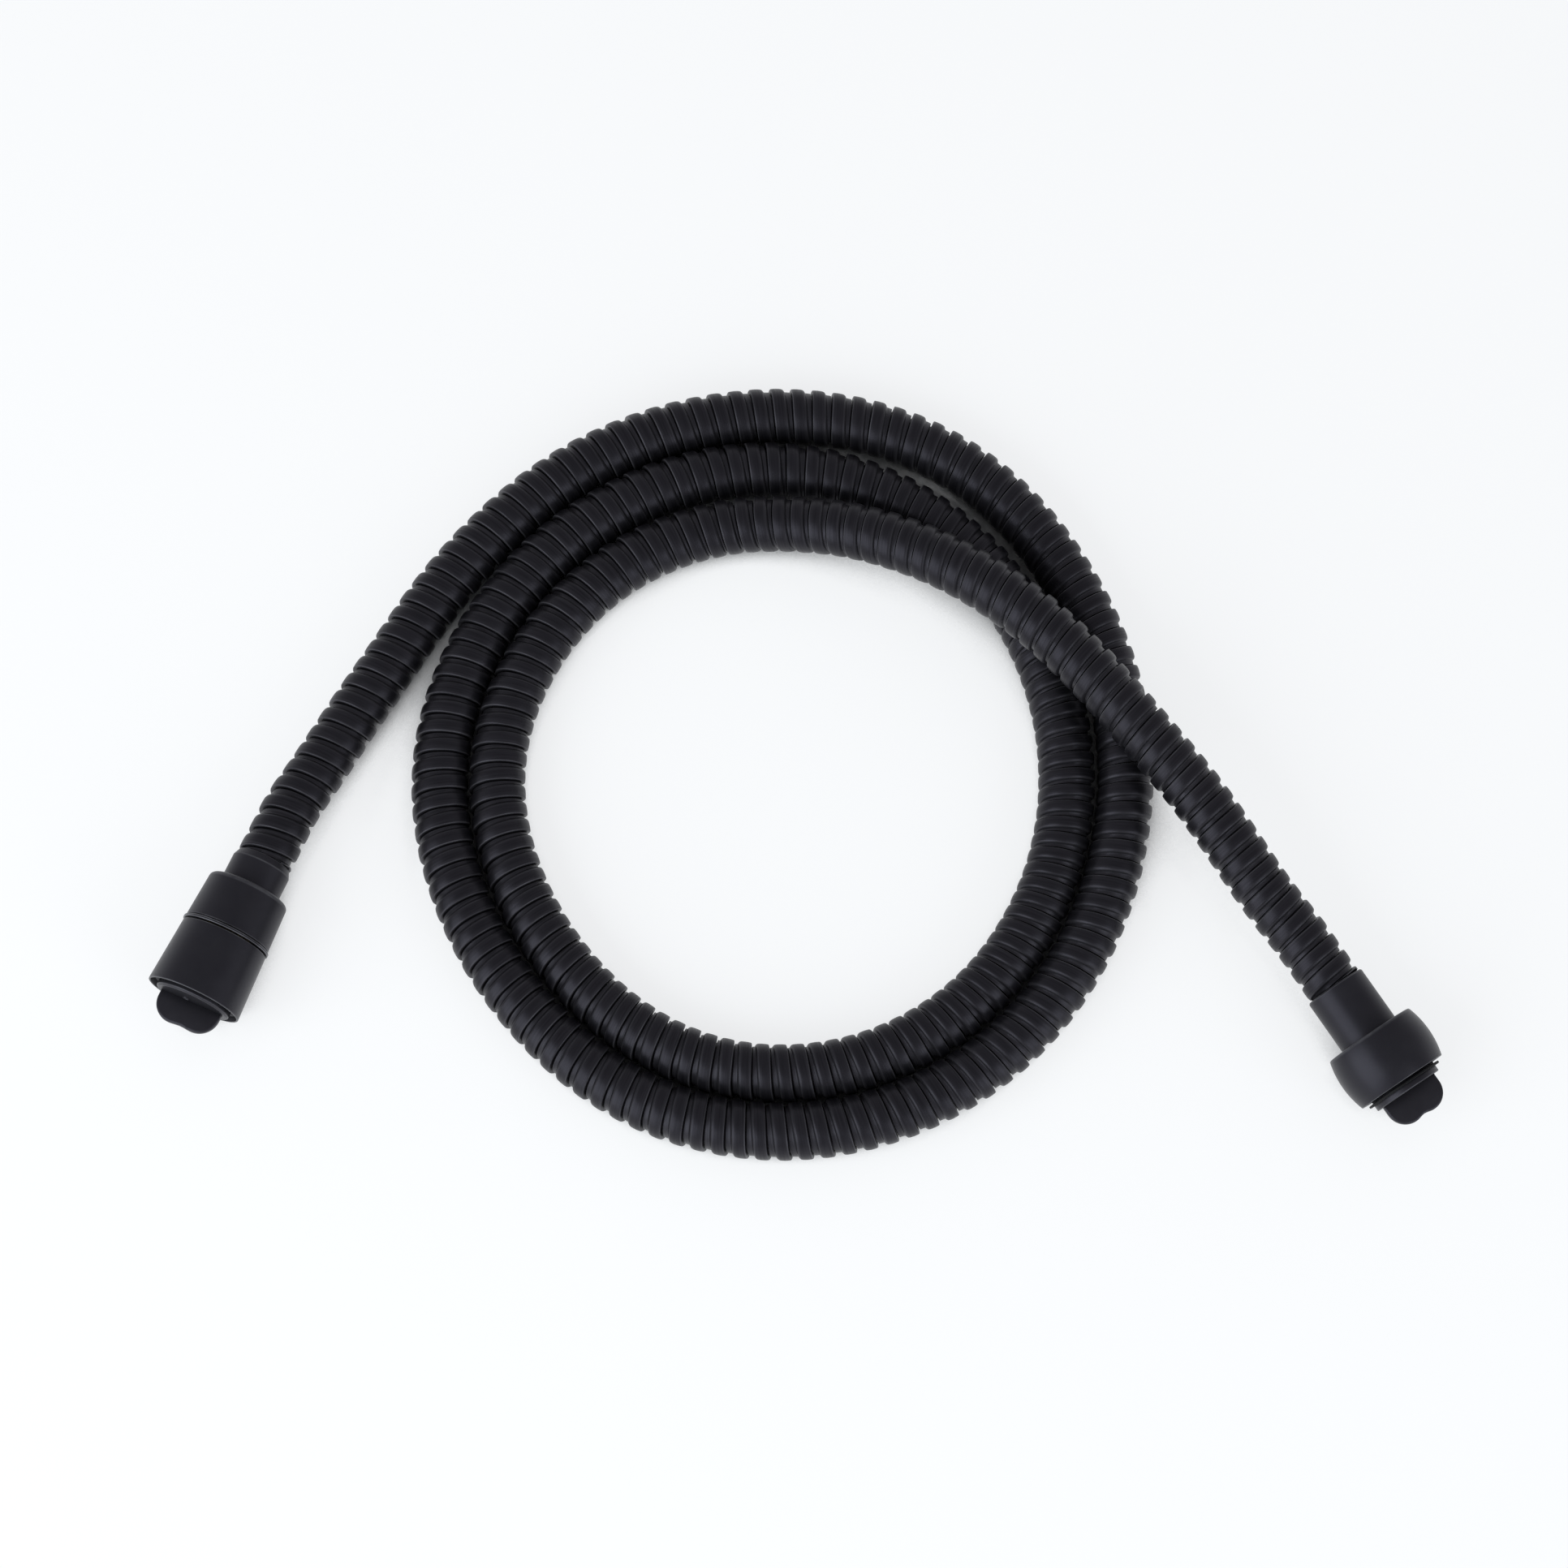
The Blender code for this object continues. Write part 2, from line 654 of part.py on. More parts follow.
def make_spindle():
    """Its grooved tail turns in the nipple's socket and its flange holds the nut and seats the washer."""
    tail = -SOCKET_DEPTH + GAP
    seat = CONE_FLANGE_AT - CONE_SOCKET_END - GAP
    snap = snap_groove_station() - (SOCKET_FLOOR + SOCKET_DEPTH) - GAP
    profile = [(WATERWAY_R, tail), (TAIL_R, tail)]
    groove_r = TAIL_R - O_RING_D - GAP
    half = O_RING_D / 2 + GAP
    for station in o_ring_stations():
        station -= CONE_SOCKET_END + GAP
        profile += [
            (TAIL_R, station - half),
            (groove_r, station - half),
            (groove_r, station + half),
            (TAIL_R, station + half),
        ]
    half = SNAP_RING_D / 2 + GAP
    snap_groove_r = TAIL_R - TAIL_GROOVE
    profile += [
        (TAIL_R, snap - half),
        (snap_groove_r, snap - half),
        (snap_groove_r, snap + half),
        (TAIL_R, snap + half),
        (TAIL_R, 0.0),
        (SPINDLE_R, 0.0),
        (SPINDLE_R, seat),
        (SEAT_FLANGE_R, seat),
        (SEAT_FLANGE_R, seat + SEAT_FLANGE_T),
        (WATERWAY_R, seat + SEAT_FLANGE_T),
    ]
    return turned("swivel_spindle", profile, INNER_FACETS)


def o_ring_stations():
    """Middles of the two O-rings along the cone end's axis."""
    first = CONE_SOCKET_AT + SOCKET_FLOOR + GAP + O_RING_D / 2 + 2 * GAP
    return (first, first + RING_SPACING)


def make_o_ring(name):
    return turned(name, ring_section(TAIL_R - O_RING_D / 2, O_RING_D), INNER_FACETS)


def make_snap_ring():
    return turned("snap_ring", ring_section(SOCKET_R - GAP / 2, SNAP_RING_D), INNER_FACETS)


def make_rear_sleeve():
    """The back part of the cone, seated on the nipple's socket."""
    back = CONE_FERRULE_SHOWS
    land = CONE_SOCKET_AT - back - GAP
    front = SLEEVE_LENGTH
    corner = arc((cone_radius(back) - SLEEVE_ROUND, SLEEVE_ROUND), SLEEVE_ROUND, 0, -90, SHOULDER_STEPS)
    profile = [(cone_radius(back + front), front)] + corner
    profile += [
        (CONE_FERRULE_R + GAP, 0.0),
        (CONE_FERRULE_R + GAP, land),
        (SOCKET_OUTER_R + GAP, land),
        (SOCKET_OUTER_R + GAP, front),
    ]
    return turned("cone_rear_sleeve", profile, NUT_FACETS)


def make_seam_ring():
    """The thin ring that shows proud between the cone's two parts and keeps them from rubbing."""
    outer = cone_radius(SEAM_RING_AT + SEAM_RING_T / 2) + SEAM_RING_PROUD
    edge = SEAM_RING_T / 4
    profile = [
        (SPINDLE_R + GAP, 0.0),
        (outer - edge, 0.0),
        (outer, edge),
        (outer, SEAM_RING_T - edge),
        (outer - edge, SEAM_RING_T),
        (SPINDLE_R + GAP, SEAM_RING_T),
    ]
    return turned("seam_ring", profile, NUT_FACETS)


def make_cone_nut():
    length = CONE_RIM_AT - CONE_NUT_AT
    profile = [(SPINDLE_R + GAP, 0.0), (cone_radius(CONE_NUT_AT) - EDGE_ROUND / 2, 0.0)]
    profile += [(cone_radius(CONE_NUT_AT), EDGE_ROUND / 2)]
    profile += arc((CONE_RIM_R - EDGE_ROUND, length - EDGE_ROUND), EDGE_ROUND, 0, 90, EDGE_STEPS)
    profile += [
        (THREAD_R + EDGE_ROUND, length),
        (THREAD_R, length - EDGE_ROUND),
        (THREAD_R, NUT_BACK_WALL),
        (SPINDLE_R + GAP, NUT_BACK_WALL),
    ]
    return turned("cone_nut", profile, NUT_FACETS)


def make_washer(name):
    outline = [(WASHER_R, 0.0), (WASHER_R, WASHER_T), (WASHER_HOLE_R, WASHER_T), (WASHER_HOLE_R, 0.0)]
    return turned(name, outline, INNER_FACETS)


# ---------------------------------------------------------------- barrel end


def make_barrel_ferrule():
    neck_r = SLEEVE_BORE_R + CRIMP_SLEEVE_WALL + GAP
    steps = ((FERRULE_BORE_R, CASING_GRIP + GAP), (neck_r, BARREL_LINER_END + GAP))
    return make_ferrule("barrel_end_ferrule", BARREL_FERRULE_R, steps, BARREL_FERRULE_END, NUT_FACETS)


def make_barrel_nipple():
    """Barbed in the liner, with the flange that holds the barrel nut and seats its washer."""
    back = -(BARREL_FLANGE_AT + NIPPLE_TIP)
    root = BARREL_LINER_END - BARREL_FLANGE_AT
    profile = [(WATERWAY_R, back)] + barb_points(back, root)
    profile += [
        (BARB_R, root + GAP),
        (SHANK_R, root + GAP),
        (SHANK_R, 0.0),
        (SEAT_FLANGE_R, 0.0),
        (SEAT_FLANGE_R, SEAT_FLANGE_T),
        (WATERWAY_R, SEAT_FLANGE_T),
    ]
    return turned("barrel_end_nipple", profile, INNER_FACETS)


def make_glide_ring():
    """A top-hat bush between the ferrule and the nut's back wall, which the nut turns and slides on."""
    bore = BARREL_FERRULE_R + GAP
    brim = THREAD_R - GAP
    back = -BARREL_BACK_WALL
    profile = [
        (bore, back),
        (GLIDE_HAT_R, back),
        (GLIDE_HAT_R, 0.0),
        (brim, 0.0),
        (brim, GLIDE_RING_T),
        (bore, GLIDE_RING_T),
    ]
    return turned("glide_ring", profile, INNER_FACETS)


def make_barrel_nut():
    """Swells to its belly half way along, like a barrel."""
    half = BARREL_LENGTH / 2
    rise = BARREL_BELLY_R - BARREL_END_R
    bend_r = (half**2 + rise**2) / (2 * rise)
    swing = math.degrees(math.asin((half - EDGE_ROUND) / bend_r))
    side = arc((BARREL_BELLY_R - bend_r, half), bend_r, -swing, swing, BELLY_STEPS)
    shoulder = BARREL_END_R - EDGE_ROUND
    profile = [(BARREL_HOLE_R, 0.0), (shoulder, 0.0)] + side + [(shoulder, BARREL_LENGTH)]
    profile += [
        (THREAD_R + EDGE_ROUND, BARREL_LENGTH),
        (THREAD_R, BARREL_LENGTH - EDGE_ROUND),
        (THREAD_R, BARREL_BACK_WALL),
        (BARREL_HOLE_R, BARREL_BACK_WALL),
    ]
    return turned("barrel_nut", profile, NUT_FACETS)


# ---------------------------------------------------------------- transit plugs


def lobed_tab(name, base, reach):
    """The pull tab: two round lobes side by side, set upright on the plug's face from base to reach."""
    meet = math.degrees(math.acos(TAB_LOBE_X / TAB_LOBE_R))
    right = arc((TAB_LOBE_X, reach - TAB_LOBE_R), TAB_LOBE_R, 0, 180 - meet, LOBE_STEPS)
    outline = [(TAB_LOBE_X + TAB_LOBE_R, base)] + right
    outline += [(-x, y) for x, y in reversed(outline[:-1])]
    body = bmesh.new()
    loop = [body.verts.new((x, -PLUG_TAB_T / 2, z)) for x, z in outline]
    face = body.faces.new(loop)
    pushed = bmesh.ops.extrude_face_region(body, geom=[face])
    moved = [item for item in pushed["geom"] if isinstance(item, bmesh.types.BMVert)]
    bmesh.ops.translate(body, verts=moved, vec=(0.0, PLUG_TAB_T, 0.0))
    bmesh.ops.recalc_face_normals(body, faces=body.faces)
    mesh = bpy.data.meshes.new(name)
    body.to_mesh(mesh)
    body.free()
    obj = bpy.data.objects.new(name, mesh)
    bpy.context.collection.objects.link(obj)
    return obj


def join_tab(plug, tab):
    tab.parent = plug
    modifier = plug.modifiers.new("tab", "BOOLEAN")
    modifier.operation = "UNION"
    modifier.solver = "EXACT"
    modifier.object = tab
    hide(tab)


def make_cone_plug():
    """A cup that plugs the thread, its face just inside the nut's rim."""
    face = CONE_RIM_AT - CONE_PLUG_RECESS - CONE_PLUG_AT
    profile = [
        (0.0, face),
        (PLUG_R - EDGE_ROUND, face),
        (PLUG_R, face - EDGE_ROUND),
        (PLUG_R, 0.0),
        (PLUG_R - PLUG_WALL, 0.0),
        (PLUG_R - PLUG_WALL, face - PLUG_WALL),
        (0.0, face - PLUG_WALL),
    ]
    plug = turned("cone_end_plug", profile, NUT_FACETS)
    reach = CONE_RIM_AT + CONE_TAB_REACH - CONE_PLUG_AT
    tab = lobed_tab("cone_tab", face - PLUG_WALL / 2, reach)
    join_tab(plug, tab)
    return plug


def make_barrel_plug():
    """A cup whose last thread and collar stand out of the barrel nut."""
    thread_end = BARREL_RIM_AT + BARREL_PLUG_RIDGE - BARREL_PLUG_AT
    face = thread_end + BARREL_COLLAR_T
    inner_r = BARREL_COLLAR_R - PLUG_WALL
    profile = [
        (0.0, face),
        (BARREL_COLLAR_R - EDGE_ROUND, face),
        (BARREL_COLLAR_R, face - EDGE_ROUND),
        (BARREL_COLLAR_R, thread_end),
        (PLUG_R, thread_end - GAP),
        (PLUG_R, 0.0),
        (inner_r, 0.0),
        (inner_r, face - PLUG_WALL),
        (0.0, face - PLUG_WALL),
    ]
    plug = turned("barrel_end_plug", profile, NUT_FACETS)
    reach = BARREL_RIM_AT + BARREL_TAB_REACH - BARREL_PLUG_AT
    tab = lobed_tab("barrel_tab", face - PLUG_WALL / 2, reach)
    join_tab(plug, tab)
    return plug


# ---------------------------------------------------------------- assembly


def build_cone_end(fitting, plastic, metal, wire, rubber):
    frame = end_frame("cone_end_axis", cone_mouth(), CONE_HEADING, CONE_TILT)
    place(make_cone_ferrule(), frame, 0.0, fitting)
    crimp_at = CASING_GRIP + GAP
    crimp = make_crimp_sleeve("cone_end_crimp_sleeve", CONE_LINER_END - GAP - crimp_at)
    place(crimp, frame, crimp_at, metal)
    place(make_cone_nipple(), frame, CONE_SOCKET_AT, metal)
    place(make_rear_sleeve(), frame, CONE_FERRULE_SHOWS, fitting)
    place(make_seam_ring(), frame, SEAM_RING_AT, plastic)
    place(make_spindle(), frame, CONE_SOCKET_END + GAP, metal)
    for name, station in zip(("rear_o_ring", "front_o_ring"), o_ring_stations()):
        place(make_o_ring(name), frame, station, rubber)
    place(make_snap_ring(), frame, CONE_SOCKET_AT + snap_groove_station(), wire)
    place(make_cone_nut(), frame, CONE_NUT_AT, fitting)
    place(make_washer("cone_nut_washer"), frame, CONE_WASHER_AT, rubber)
    place(make_cone_plug(), frame, CONE_PLUG_AT, plastic)


def build_barrel_end(fitting, plastic, metal, rubber, acetal):
    frame = end_frame("barrel_end_axis", barrel_mouth(), BARREL_HEADING, BARREL_TILT)
    place(make_barrel_ferrule(), frame, 0.0, fitting)
    crimp_at = CASING_GRIP + 2 * GAP
    crimp = make_crimp_sleeve("barrel_end_crimp_sleeve", BARREL_LINER_END - GAP - crimp_at)
    place(crimp, frame, crimp_at, metal)
    place(make_barrel_nipple(), frame, BARREL_FLANGE_AT, metal)
    place(make_glide_ring(), frame, GLIDE_RING_AT, acetal)
    place(make_barrel_nut(), frame, BARREL_FERRULE_SHOWS, fitting)
    place(make_washer("barrel_nut_washer"), frame, BARREL_WASHER_AT, rubber)
    place(make_barrel_plug(), frame, BARREL_PLUG_AT, plastic)


def main():
    clear_scene()
    fitting, plastic, metal = black_fitting(), black_plastic(), brass()
    rubber, acetal = black_rubber(), white_acetal()
    casing = make_casing(black_casing())
    bore_casing(casing)
    make_liner(grey_liner())
    build_cone_end(fitting, plastic, metal, steel(), rubber)
    build_barrel_end(fitting, plastic, metal, rubber, acetal)


main()
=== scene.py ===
"""Looks for a black shower hose lying in its coil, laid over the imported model. Metres, +Z up."""

import math

import bmesh
import bpy
import numpy as np
from mathutils import Matrix, Vector


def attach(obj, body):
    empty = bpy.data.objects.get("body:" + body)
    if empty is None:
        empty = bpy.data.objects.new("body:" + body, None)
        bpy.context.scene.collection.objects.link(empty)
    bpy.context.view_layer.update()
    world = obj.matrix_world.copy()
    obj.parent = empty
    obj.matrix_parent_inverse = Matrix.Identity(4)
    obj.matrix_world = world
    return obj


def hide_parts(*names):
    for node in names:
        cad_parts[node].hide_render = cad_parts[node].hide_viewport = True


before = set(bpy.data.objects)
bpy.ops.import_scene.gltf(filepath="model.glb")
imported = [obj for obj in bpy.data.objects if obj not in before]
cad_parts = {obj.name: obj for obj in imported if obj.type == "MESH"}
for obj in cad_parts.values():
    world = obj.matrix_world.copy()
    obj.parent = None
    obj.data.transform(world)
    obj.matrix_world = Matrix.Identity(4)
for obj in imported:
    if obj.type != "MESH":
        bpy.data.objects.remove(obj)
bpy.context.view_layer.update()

MM = 0.001

# Camera
LOOK_AT = Vector((-2.28, -3.49, 0.0)) * MM
CAMERA_DISTANCE = 0.9
CAMERA_ELEVATION = math.radians(74.0)
LENS = 78.8
SENSOR = 36.0

# Light
SKY_TINT = (0.97, 0.97, 1.0)
BOX_TINT = (0.9, 0.97, 1.0)
SKY_LEVEL = 0.42
HORIZON_LEVEL = 0.56
GROUND_EXTRA = 0.34
BOX_DISTANCE = 1.1
SOFTBOXES = (  # name, azimuth and elevation in degrees, size in metres, radiance
    ("left_softbox", -143.0, 30.0, (1.12, 1.03), 2.4),
    ("right_softbox", -42.0, 24.0, (0.71, 0.8), 1.75),
)
FLOOR_HALF = 3.0
FLOOR_PAPER = (0.93, 0.94, 0.95)
FLOOR_GLOW = 0.75
FLOOR_SEEN = 0.3  # share of the floor's own light that the camera and mirrors see beside its glow
SHADOW_REACH = 0.03
SHADOW_RANGE = (0.3, 0.42)  # openness at which the glow starts and is full

# Looks
GLOSS_TINT = (0.87, 0.83, 1.0)  # the black plating's reflections lean to violet
# Edge colours: the rounded edges lightened for rubbed wear and for a painted highlight along them
COAT_EDGE_WEAR_AND_HIGHLIGHT = (0.07, 0.07, 0.076)
NUT_EDGE_WEAR_AND_HIGHLIGHT = (0.09, 0.09, 0.097)
PLASTIC_EDGE_WEAR_AND_HIGHLIGHT = (0.05, 0.05, 0.056)
# The ring's edge colour is pale: a painted highlight along its rounded edges
RING_EDGE_HIGHLIGHT = (0.15, 0.15, 0.165)

# Hose
HOSE_R = 7.4 * MM
STRIP_TURNS = 287.025
STRIP_START = 0.18  # turns by which the strip's first rib lies nearer the cone end
CASING_GRIP = 4.5 * MM  # casing inside each ferrule
STRAIGHT_RUN = (14.4, 7.92, 2.88)  # knots before each ferrule's mouth, in millimetres

LINER_OUTER = 5.2 * MM
LINER_INNER = 3.8 * MM
LINER_BEYOND = (6.8 * MM, 11.2 * MM)  # how far the liner runs on past the casing's cone end and barrel end

# Coil, in millimetres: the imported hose's route, its turns grown and its runs lifted a little because the crests
# stand further out here, and the turns resting half a diameter off the floor
LIFT = 0.2
COIL_GROWTH = 0.25
COIL_CENTRE = np.array((-2.88, -6.99, 0.0))
INNER_TURN_R = 74.1
TURN_PITCH = 14.9
COIL_IN = -34.0
COIL_OUT = 685.0
COIL_STEP = 14.74
STEP_TO_OUTER = (-12.0, 100.0)
STEP_TO_INNER = (345.0, 452.0)
DENTS = ((238.0, 45.0, -2.1), (112.0, 38.0, -1.0), (178.0, 42.0, 0.7))
LEAD_END = 60.0
LEAD_BULGE = ((26.0, 34.0, 1.75),)
CONE_RUN = (  # plan angle, turns out from the inner turn, height in millimetres
    (-89.11, 3.243, 8.5),
    (-80.16, 2.660, 7.6),
    (-69.90, 2.255, 7.2),
    (-59.00, 2.085, 7.2),
    (-48.00, 2.015, 7.2),
)
BARREL_RUN = (
    (-19.98, -0.024, 7.7),
    (-8.20, -0.078, 8.9),
    (1.68, -0.152, 11.0),
    (12.49, -0.196, 13.9),
    (24.18, -0.206, 17.2),
    (36.54, -0.137, 20.2),
    (49.34, 0.043, 22.1),
    (61.79, 0.351, 22.6),
    (73.70, 0.789, 22.5),
    (83.57, 1.350, 21.9),
    (91.87, 2.080, 20.2),
    (99.04, 2.880, 18.0),
    (104.91, 3.764, 15.8),
)
CONE_MOUTH = (261.41, 4.061, 10.7)
BARREL_MOUTH = (111.05, 5.116, 14.2)
CONE_HEADING = math.radians(246.4)
CONE_TILT = math.radians(3.2)
BARREL_HEADING = math.radians(-56.5)
BARREL_TILT = math.radians(-2.5)

# Spiral strip: pitch in millimetres at plan angles, and the section across one pitch
PITCHES = (
    (-99.0, 5.6),
    (-40.0, 5.35),
    (60.0, 5.15),
    (380.0, 5.1),
    (425.0, 4.35),
    (470.0, 4.35),
    (540.0, 4.9),
    (700.0, 5.0),
    (831.0, 5.1),
)
STRIP = (  # share of the pitch, depth below the crest in millimetres, edge wear and painted light
    (0.0, 1.75, 0.0),
    (0.004, 1.0, 0.0),
    (0.008, 0.45, 0.3),
    (0.02, 0.2, 0.8),
    (0.04, 0.1, 0.7),
    (0.08, 0.055, 0.12),
    (0.18, 0.015, 0.05),
    (0.3, 0.0, 0.0),
    (0.44, 0.02, 0.0),
    (0.54, 0.07, 0.05),
    (0.605, 0.15, 0.2),
    (0.65, 0.3, 0.3),
    (0.69, 0.56, 0.2),
    (0.722, 0.84, 0.15),
)
# The ledge is lightened a little towards the pale edge colour: painted light against the shade in its hollow
LEDGE_PAINTED_LIGHT = 0.2
LEDGE = ((0.1, 0.93), (0.95, 0.98))  # share of the way to the gap before the next rib, and depth
GAP = 0.3  # millimetres of open gap under the next rib's edge
GAP_MOST = 0.45  # of the room between two ribs
GAP_LIP = 1.3
GAP_FLOOR = 1.75
GAP_SHADE_START, GAP_SHADE_FADE = 1.02, 0.15  # depth at which the painted shade at the bottom of the gap begins, and over which it fills
WAVER = 0.05  # unevenness of the strip in radius and in place
DRAWN_IN = 1.2  # depth to which the casing is drawn in inside each ferrule
CONE_DRAW = (0.12, 0.12)  # millimetres outside the mouth where that begins, and over which it happens
BARREL_DRAW = (0.22, 0.08)
RIB_MIDDLE = 0.42
TURN_STEPS = 36
CASING_SEED = 11
TUBE_STEP = 4 * MM
WELD = 0.0005 * MM

# Fittings: stations and radii in millimetres, from each ferrule's mouth along the fitting's axis
THREAD_R = 10.48
THREAD_PITCH = 1.814
THREAD_FADE = 0.4  # turns over which a thread rises and runs out
THREAD_OVERLAP = 0.03  # by which a thread's foot stands inside the wall
CONE_FLANK = ((8.6, 10.75), (40.5, 12.5))  # station and radius where the cone begins and ends
ROUND_STEPS = 5
LATHE_STEPS = 96
INNER_STEPS = 64
BELLY_STEPS = 16
LOBE_STEPS = 16
DIP_STEPS = 8
TAB_EDGE = 0.55 * MM


# ---------------------------------------------------------------- camera, light and floor


def add_camera():
    data = bpy.data.cameras.new("camera")
    data.lens = LENS
    data.sensor_width = SENSOR
    data.sensor_fit = "HORIZONTAL"
    camera = bpy.data.objects.new("camera", data)
    back = Vector((0.0, -math.cos(CAMERA_ELEVATION), math.sin(CAMERA_ELEVATION)))
    camera.location = LOOK_AT + back * CAMERA_DISTANCE
    camera.rotation_euler = (math.pi / 2 - CAMERA_ELEVATION, 0.0, 0.0)
    bpy.context.scene.collection.objects.link(camera)
    bpy.context.scene.camera = camera


def add_softbox(name, azimuth, elevation, size, radiance):
    """A soft rectangular lamp facing the coil from that side."""
    data = bpy.data.lights.new(name, "AREA")
    data.shape = "RECTANGLE"
    data.size, data.size_y = size
    data.energy = radiance * math.pi * size[0] * size[1]
    data.color = BOX_TINT
    light = bpy.data.objects.new(name, data)
    side, up = math.radians(azimuth), math.radians(elevation)
    place = Vector((math.cos(up) * math.cos(side), math.cos(up) * math.sin(side), math.sin(up)))
    light.location = place * BOX_DISTANCE
    light.rotation_euler = (-place).to_track_quat("-Z", "Y").to_euler()
    light.visible_camera = False
    bpy.context.scene.collection.objects.link(light)


def add_world():
    """Even light from all round, a little brighter low down."""
    world = bpy.data.worlds.new("studio")
    bpy.context.scene.world = world
    world.use_nodes = True
    tree = world.node_tree
    background = tree.nodes["Background"]
    background.inputs["Color"].default_value = (*SKY_TINT, 1.0)
    split = tree.nodes.new("ShaderNodeSeparateXYZ")
    tree.links.new(tree.nodes.new("ShaderNodeTexCoord").outputs["Generated"], split.inputs[0])
    slope = add_range(tree, split.outputs["Z"], HORIZON_LEVEL, SKY_LEVEL, 0.0, 1.0)
    low = add_range(tree, split.outputs["Z"], GROUND_EXTRA, 0.0, 0.0, 0.3)
    tree.links.new(add_math(tree, "ADD", slope, low), background.inputs["Strength"])


def add_floor():
    """White paper. Seen directly or mirrored it glows, less the more the object covers it: an ambient occlusion mask
    paints a soft shadow there, on top of the lamps' own shadow.
    """
    mesh = bpy.data.meshes.new("floor")
    half = FLOOR_HALF
    mesh.from_pydata([(-half, -half, 0), (half, -half, 0), (half, half, 0), (-half, half, 0)], [], [(0, 1, 2, 3)])
    floor = bpy.data.objects.new("floor", mesh)
    bpy.context.scene.collection.objects.link(floor)
    look, tree, shader = nodes_of("floor_paper")
    shader.inputs["Roughness"].default_value = 0.9
    shader.inputs["Specular IOR Level"].default_value = 0.1
    shader.inputs["Emission Color"].default_value = (0.98, 0.99, 1.0, 1.0)
    path = tree.nodes.new("ShaderNodeLightPath")
    seen = add_math(tree, "ADD", path.outputs["Is Camera Ray"], path.outputs["Is Glossy Ray"])
    seen = add_math(tree, "ADD", seen, path.outputs["Is Transmission Ray"])
    shown = tuple(FLOOR_SEEN * c for c in FLOOR_PAPER)
    tree.links.new(add_mix(tree, seen, FLOOR_PAPER, shown), shader.inputs["Base Color"])
    # Painted shadow: ambient occlusion near the object dims the glow
    cover = tree.nodes.new("ShaderNodeAmbientOcclusion")
    cover.samples = 8
    cover.inputs["Distance"].default_value = SHADOW_REACH
    glow = add_range(tree, cover.outputs["AO"], 0.0, FLOOR_GLOW, *SHADOW_RANGE)
    tree.links.new(add_math(tree, "MULTIPLY", seen, glow), shader.inputs["Emission Strength"])
    mesh.materials.append(look)


# ---------------------------------------------------------------- materials


def nodes_of(name):
    look = bpy.data.materials.new(name)
    look.use_nodes = True
    return look, look.node_tree, look.node_tree.nodes["Principled BSDF"]


def add_noise(tree, vector, scale, detail=3.0, roughness=0.55):
    noise = tree.nodes.new("ShaderNodeTexNoise")
    noise.inputs["Scale"].default_value = scale
    noise.inputs["Detail"].default_value = detail
    noise.inputs["Roughness"].default_value = roughness
    tree.links.new(vector, noise.inputs["Vector"])
    return noise.outputs["Fac"]


def add_range(tree, value, low, high, start=0.3, end=0.7):
    node = tree.nodes.new("ShaderNodeMapRange")
    node.inputs["From Min"].default_value = start
    node.inputs["From Max"].default_value = end
    node.inputs["To Min"].default_value = low
    node.inputs["To Max"].default_value = high
    tree.links.new(value, node.inputs["Value"])
    return node.outputs["Result"]


def add_mix(tree, factor, first, second):
    node = tree.nodes.new("ShaderNodeMix")
    node.data_type = "RGBA"
    for value, socket in ((factor, node.inputs[0]), (first, node.inputs[6]), (second, node.inputs[7])):
        if isinstance(value, tuple):
            socket.default_value = (*value, 1.0)
        else:
            tree.links.new(value, socket)
    return node.outputs[2]


def add_math(tree, kind, first, second):
    node = tree.nodes.new("ShaderNodeMath")
    node.operation = kind
    node.use_clamp = True
    tree.links.new(first, node.inputs[0])
    tree.links.new(second, node.inputs[1])
    return node.outputs[0]


def add_attribute(tree, name, output):
    node = tree.nodes.new("ShaderNodeAttribute")
    node.attribute_name = name
    return node.outputs[output]


def add_bump(tree, shader, height, distance, strength=1.0, under=None):
    node = tree.nodes.new("ShaderNodeBump")
    node.inputs["Strength"].default_value = strength
    node.inputs["Distance"].default_value = distance
    tree.links.new(height, node.inputs["Height"])
    if under is not None:
        tree.links.new(under, node.inputs["Normal"])
    tree.links.new(node.outputs["Normal"], shader.inputs["Normal"])
    return node.outputs["Normal"]


def object_coordinates(tree):
    return tree.nodes.new("ShaderNodeTexCoord").outputs["Object"]


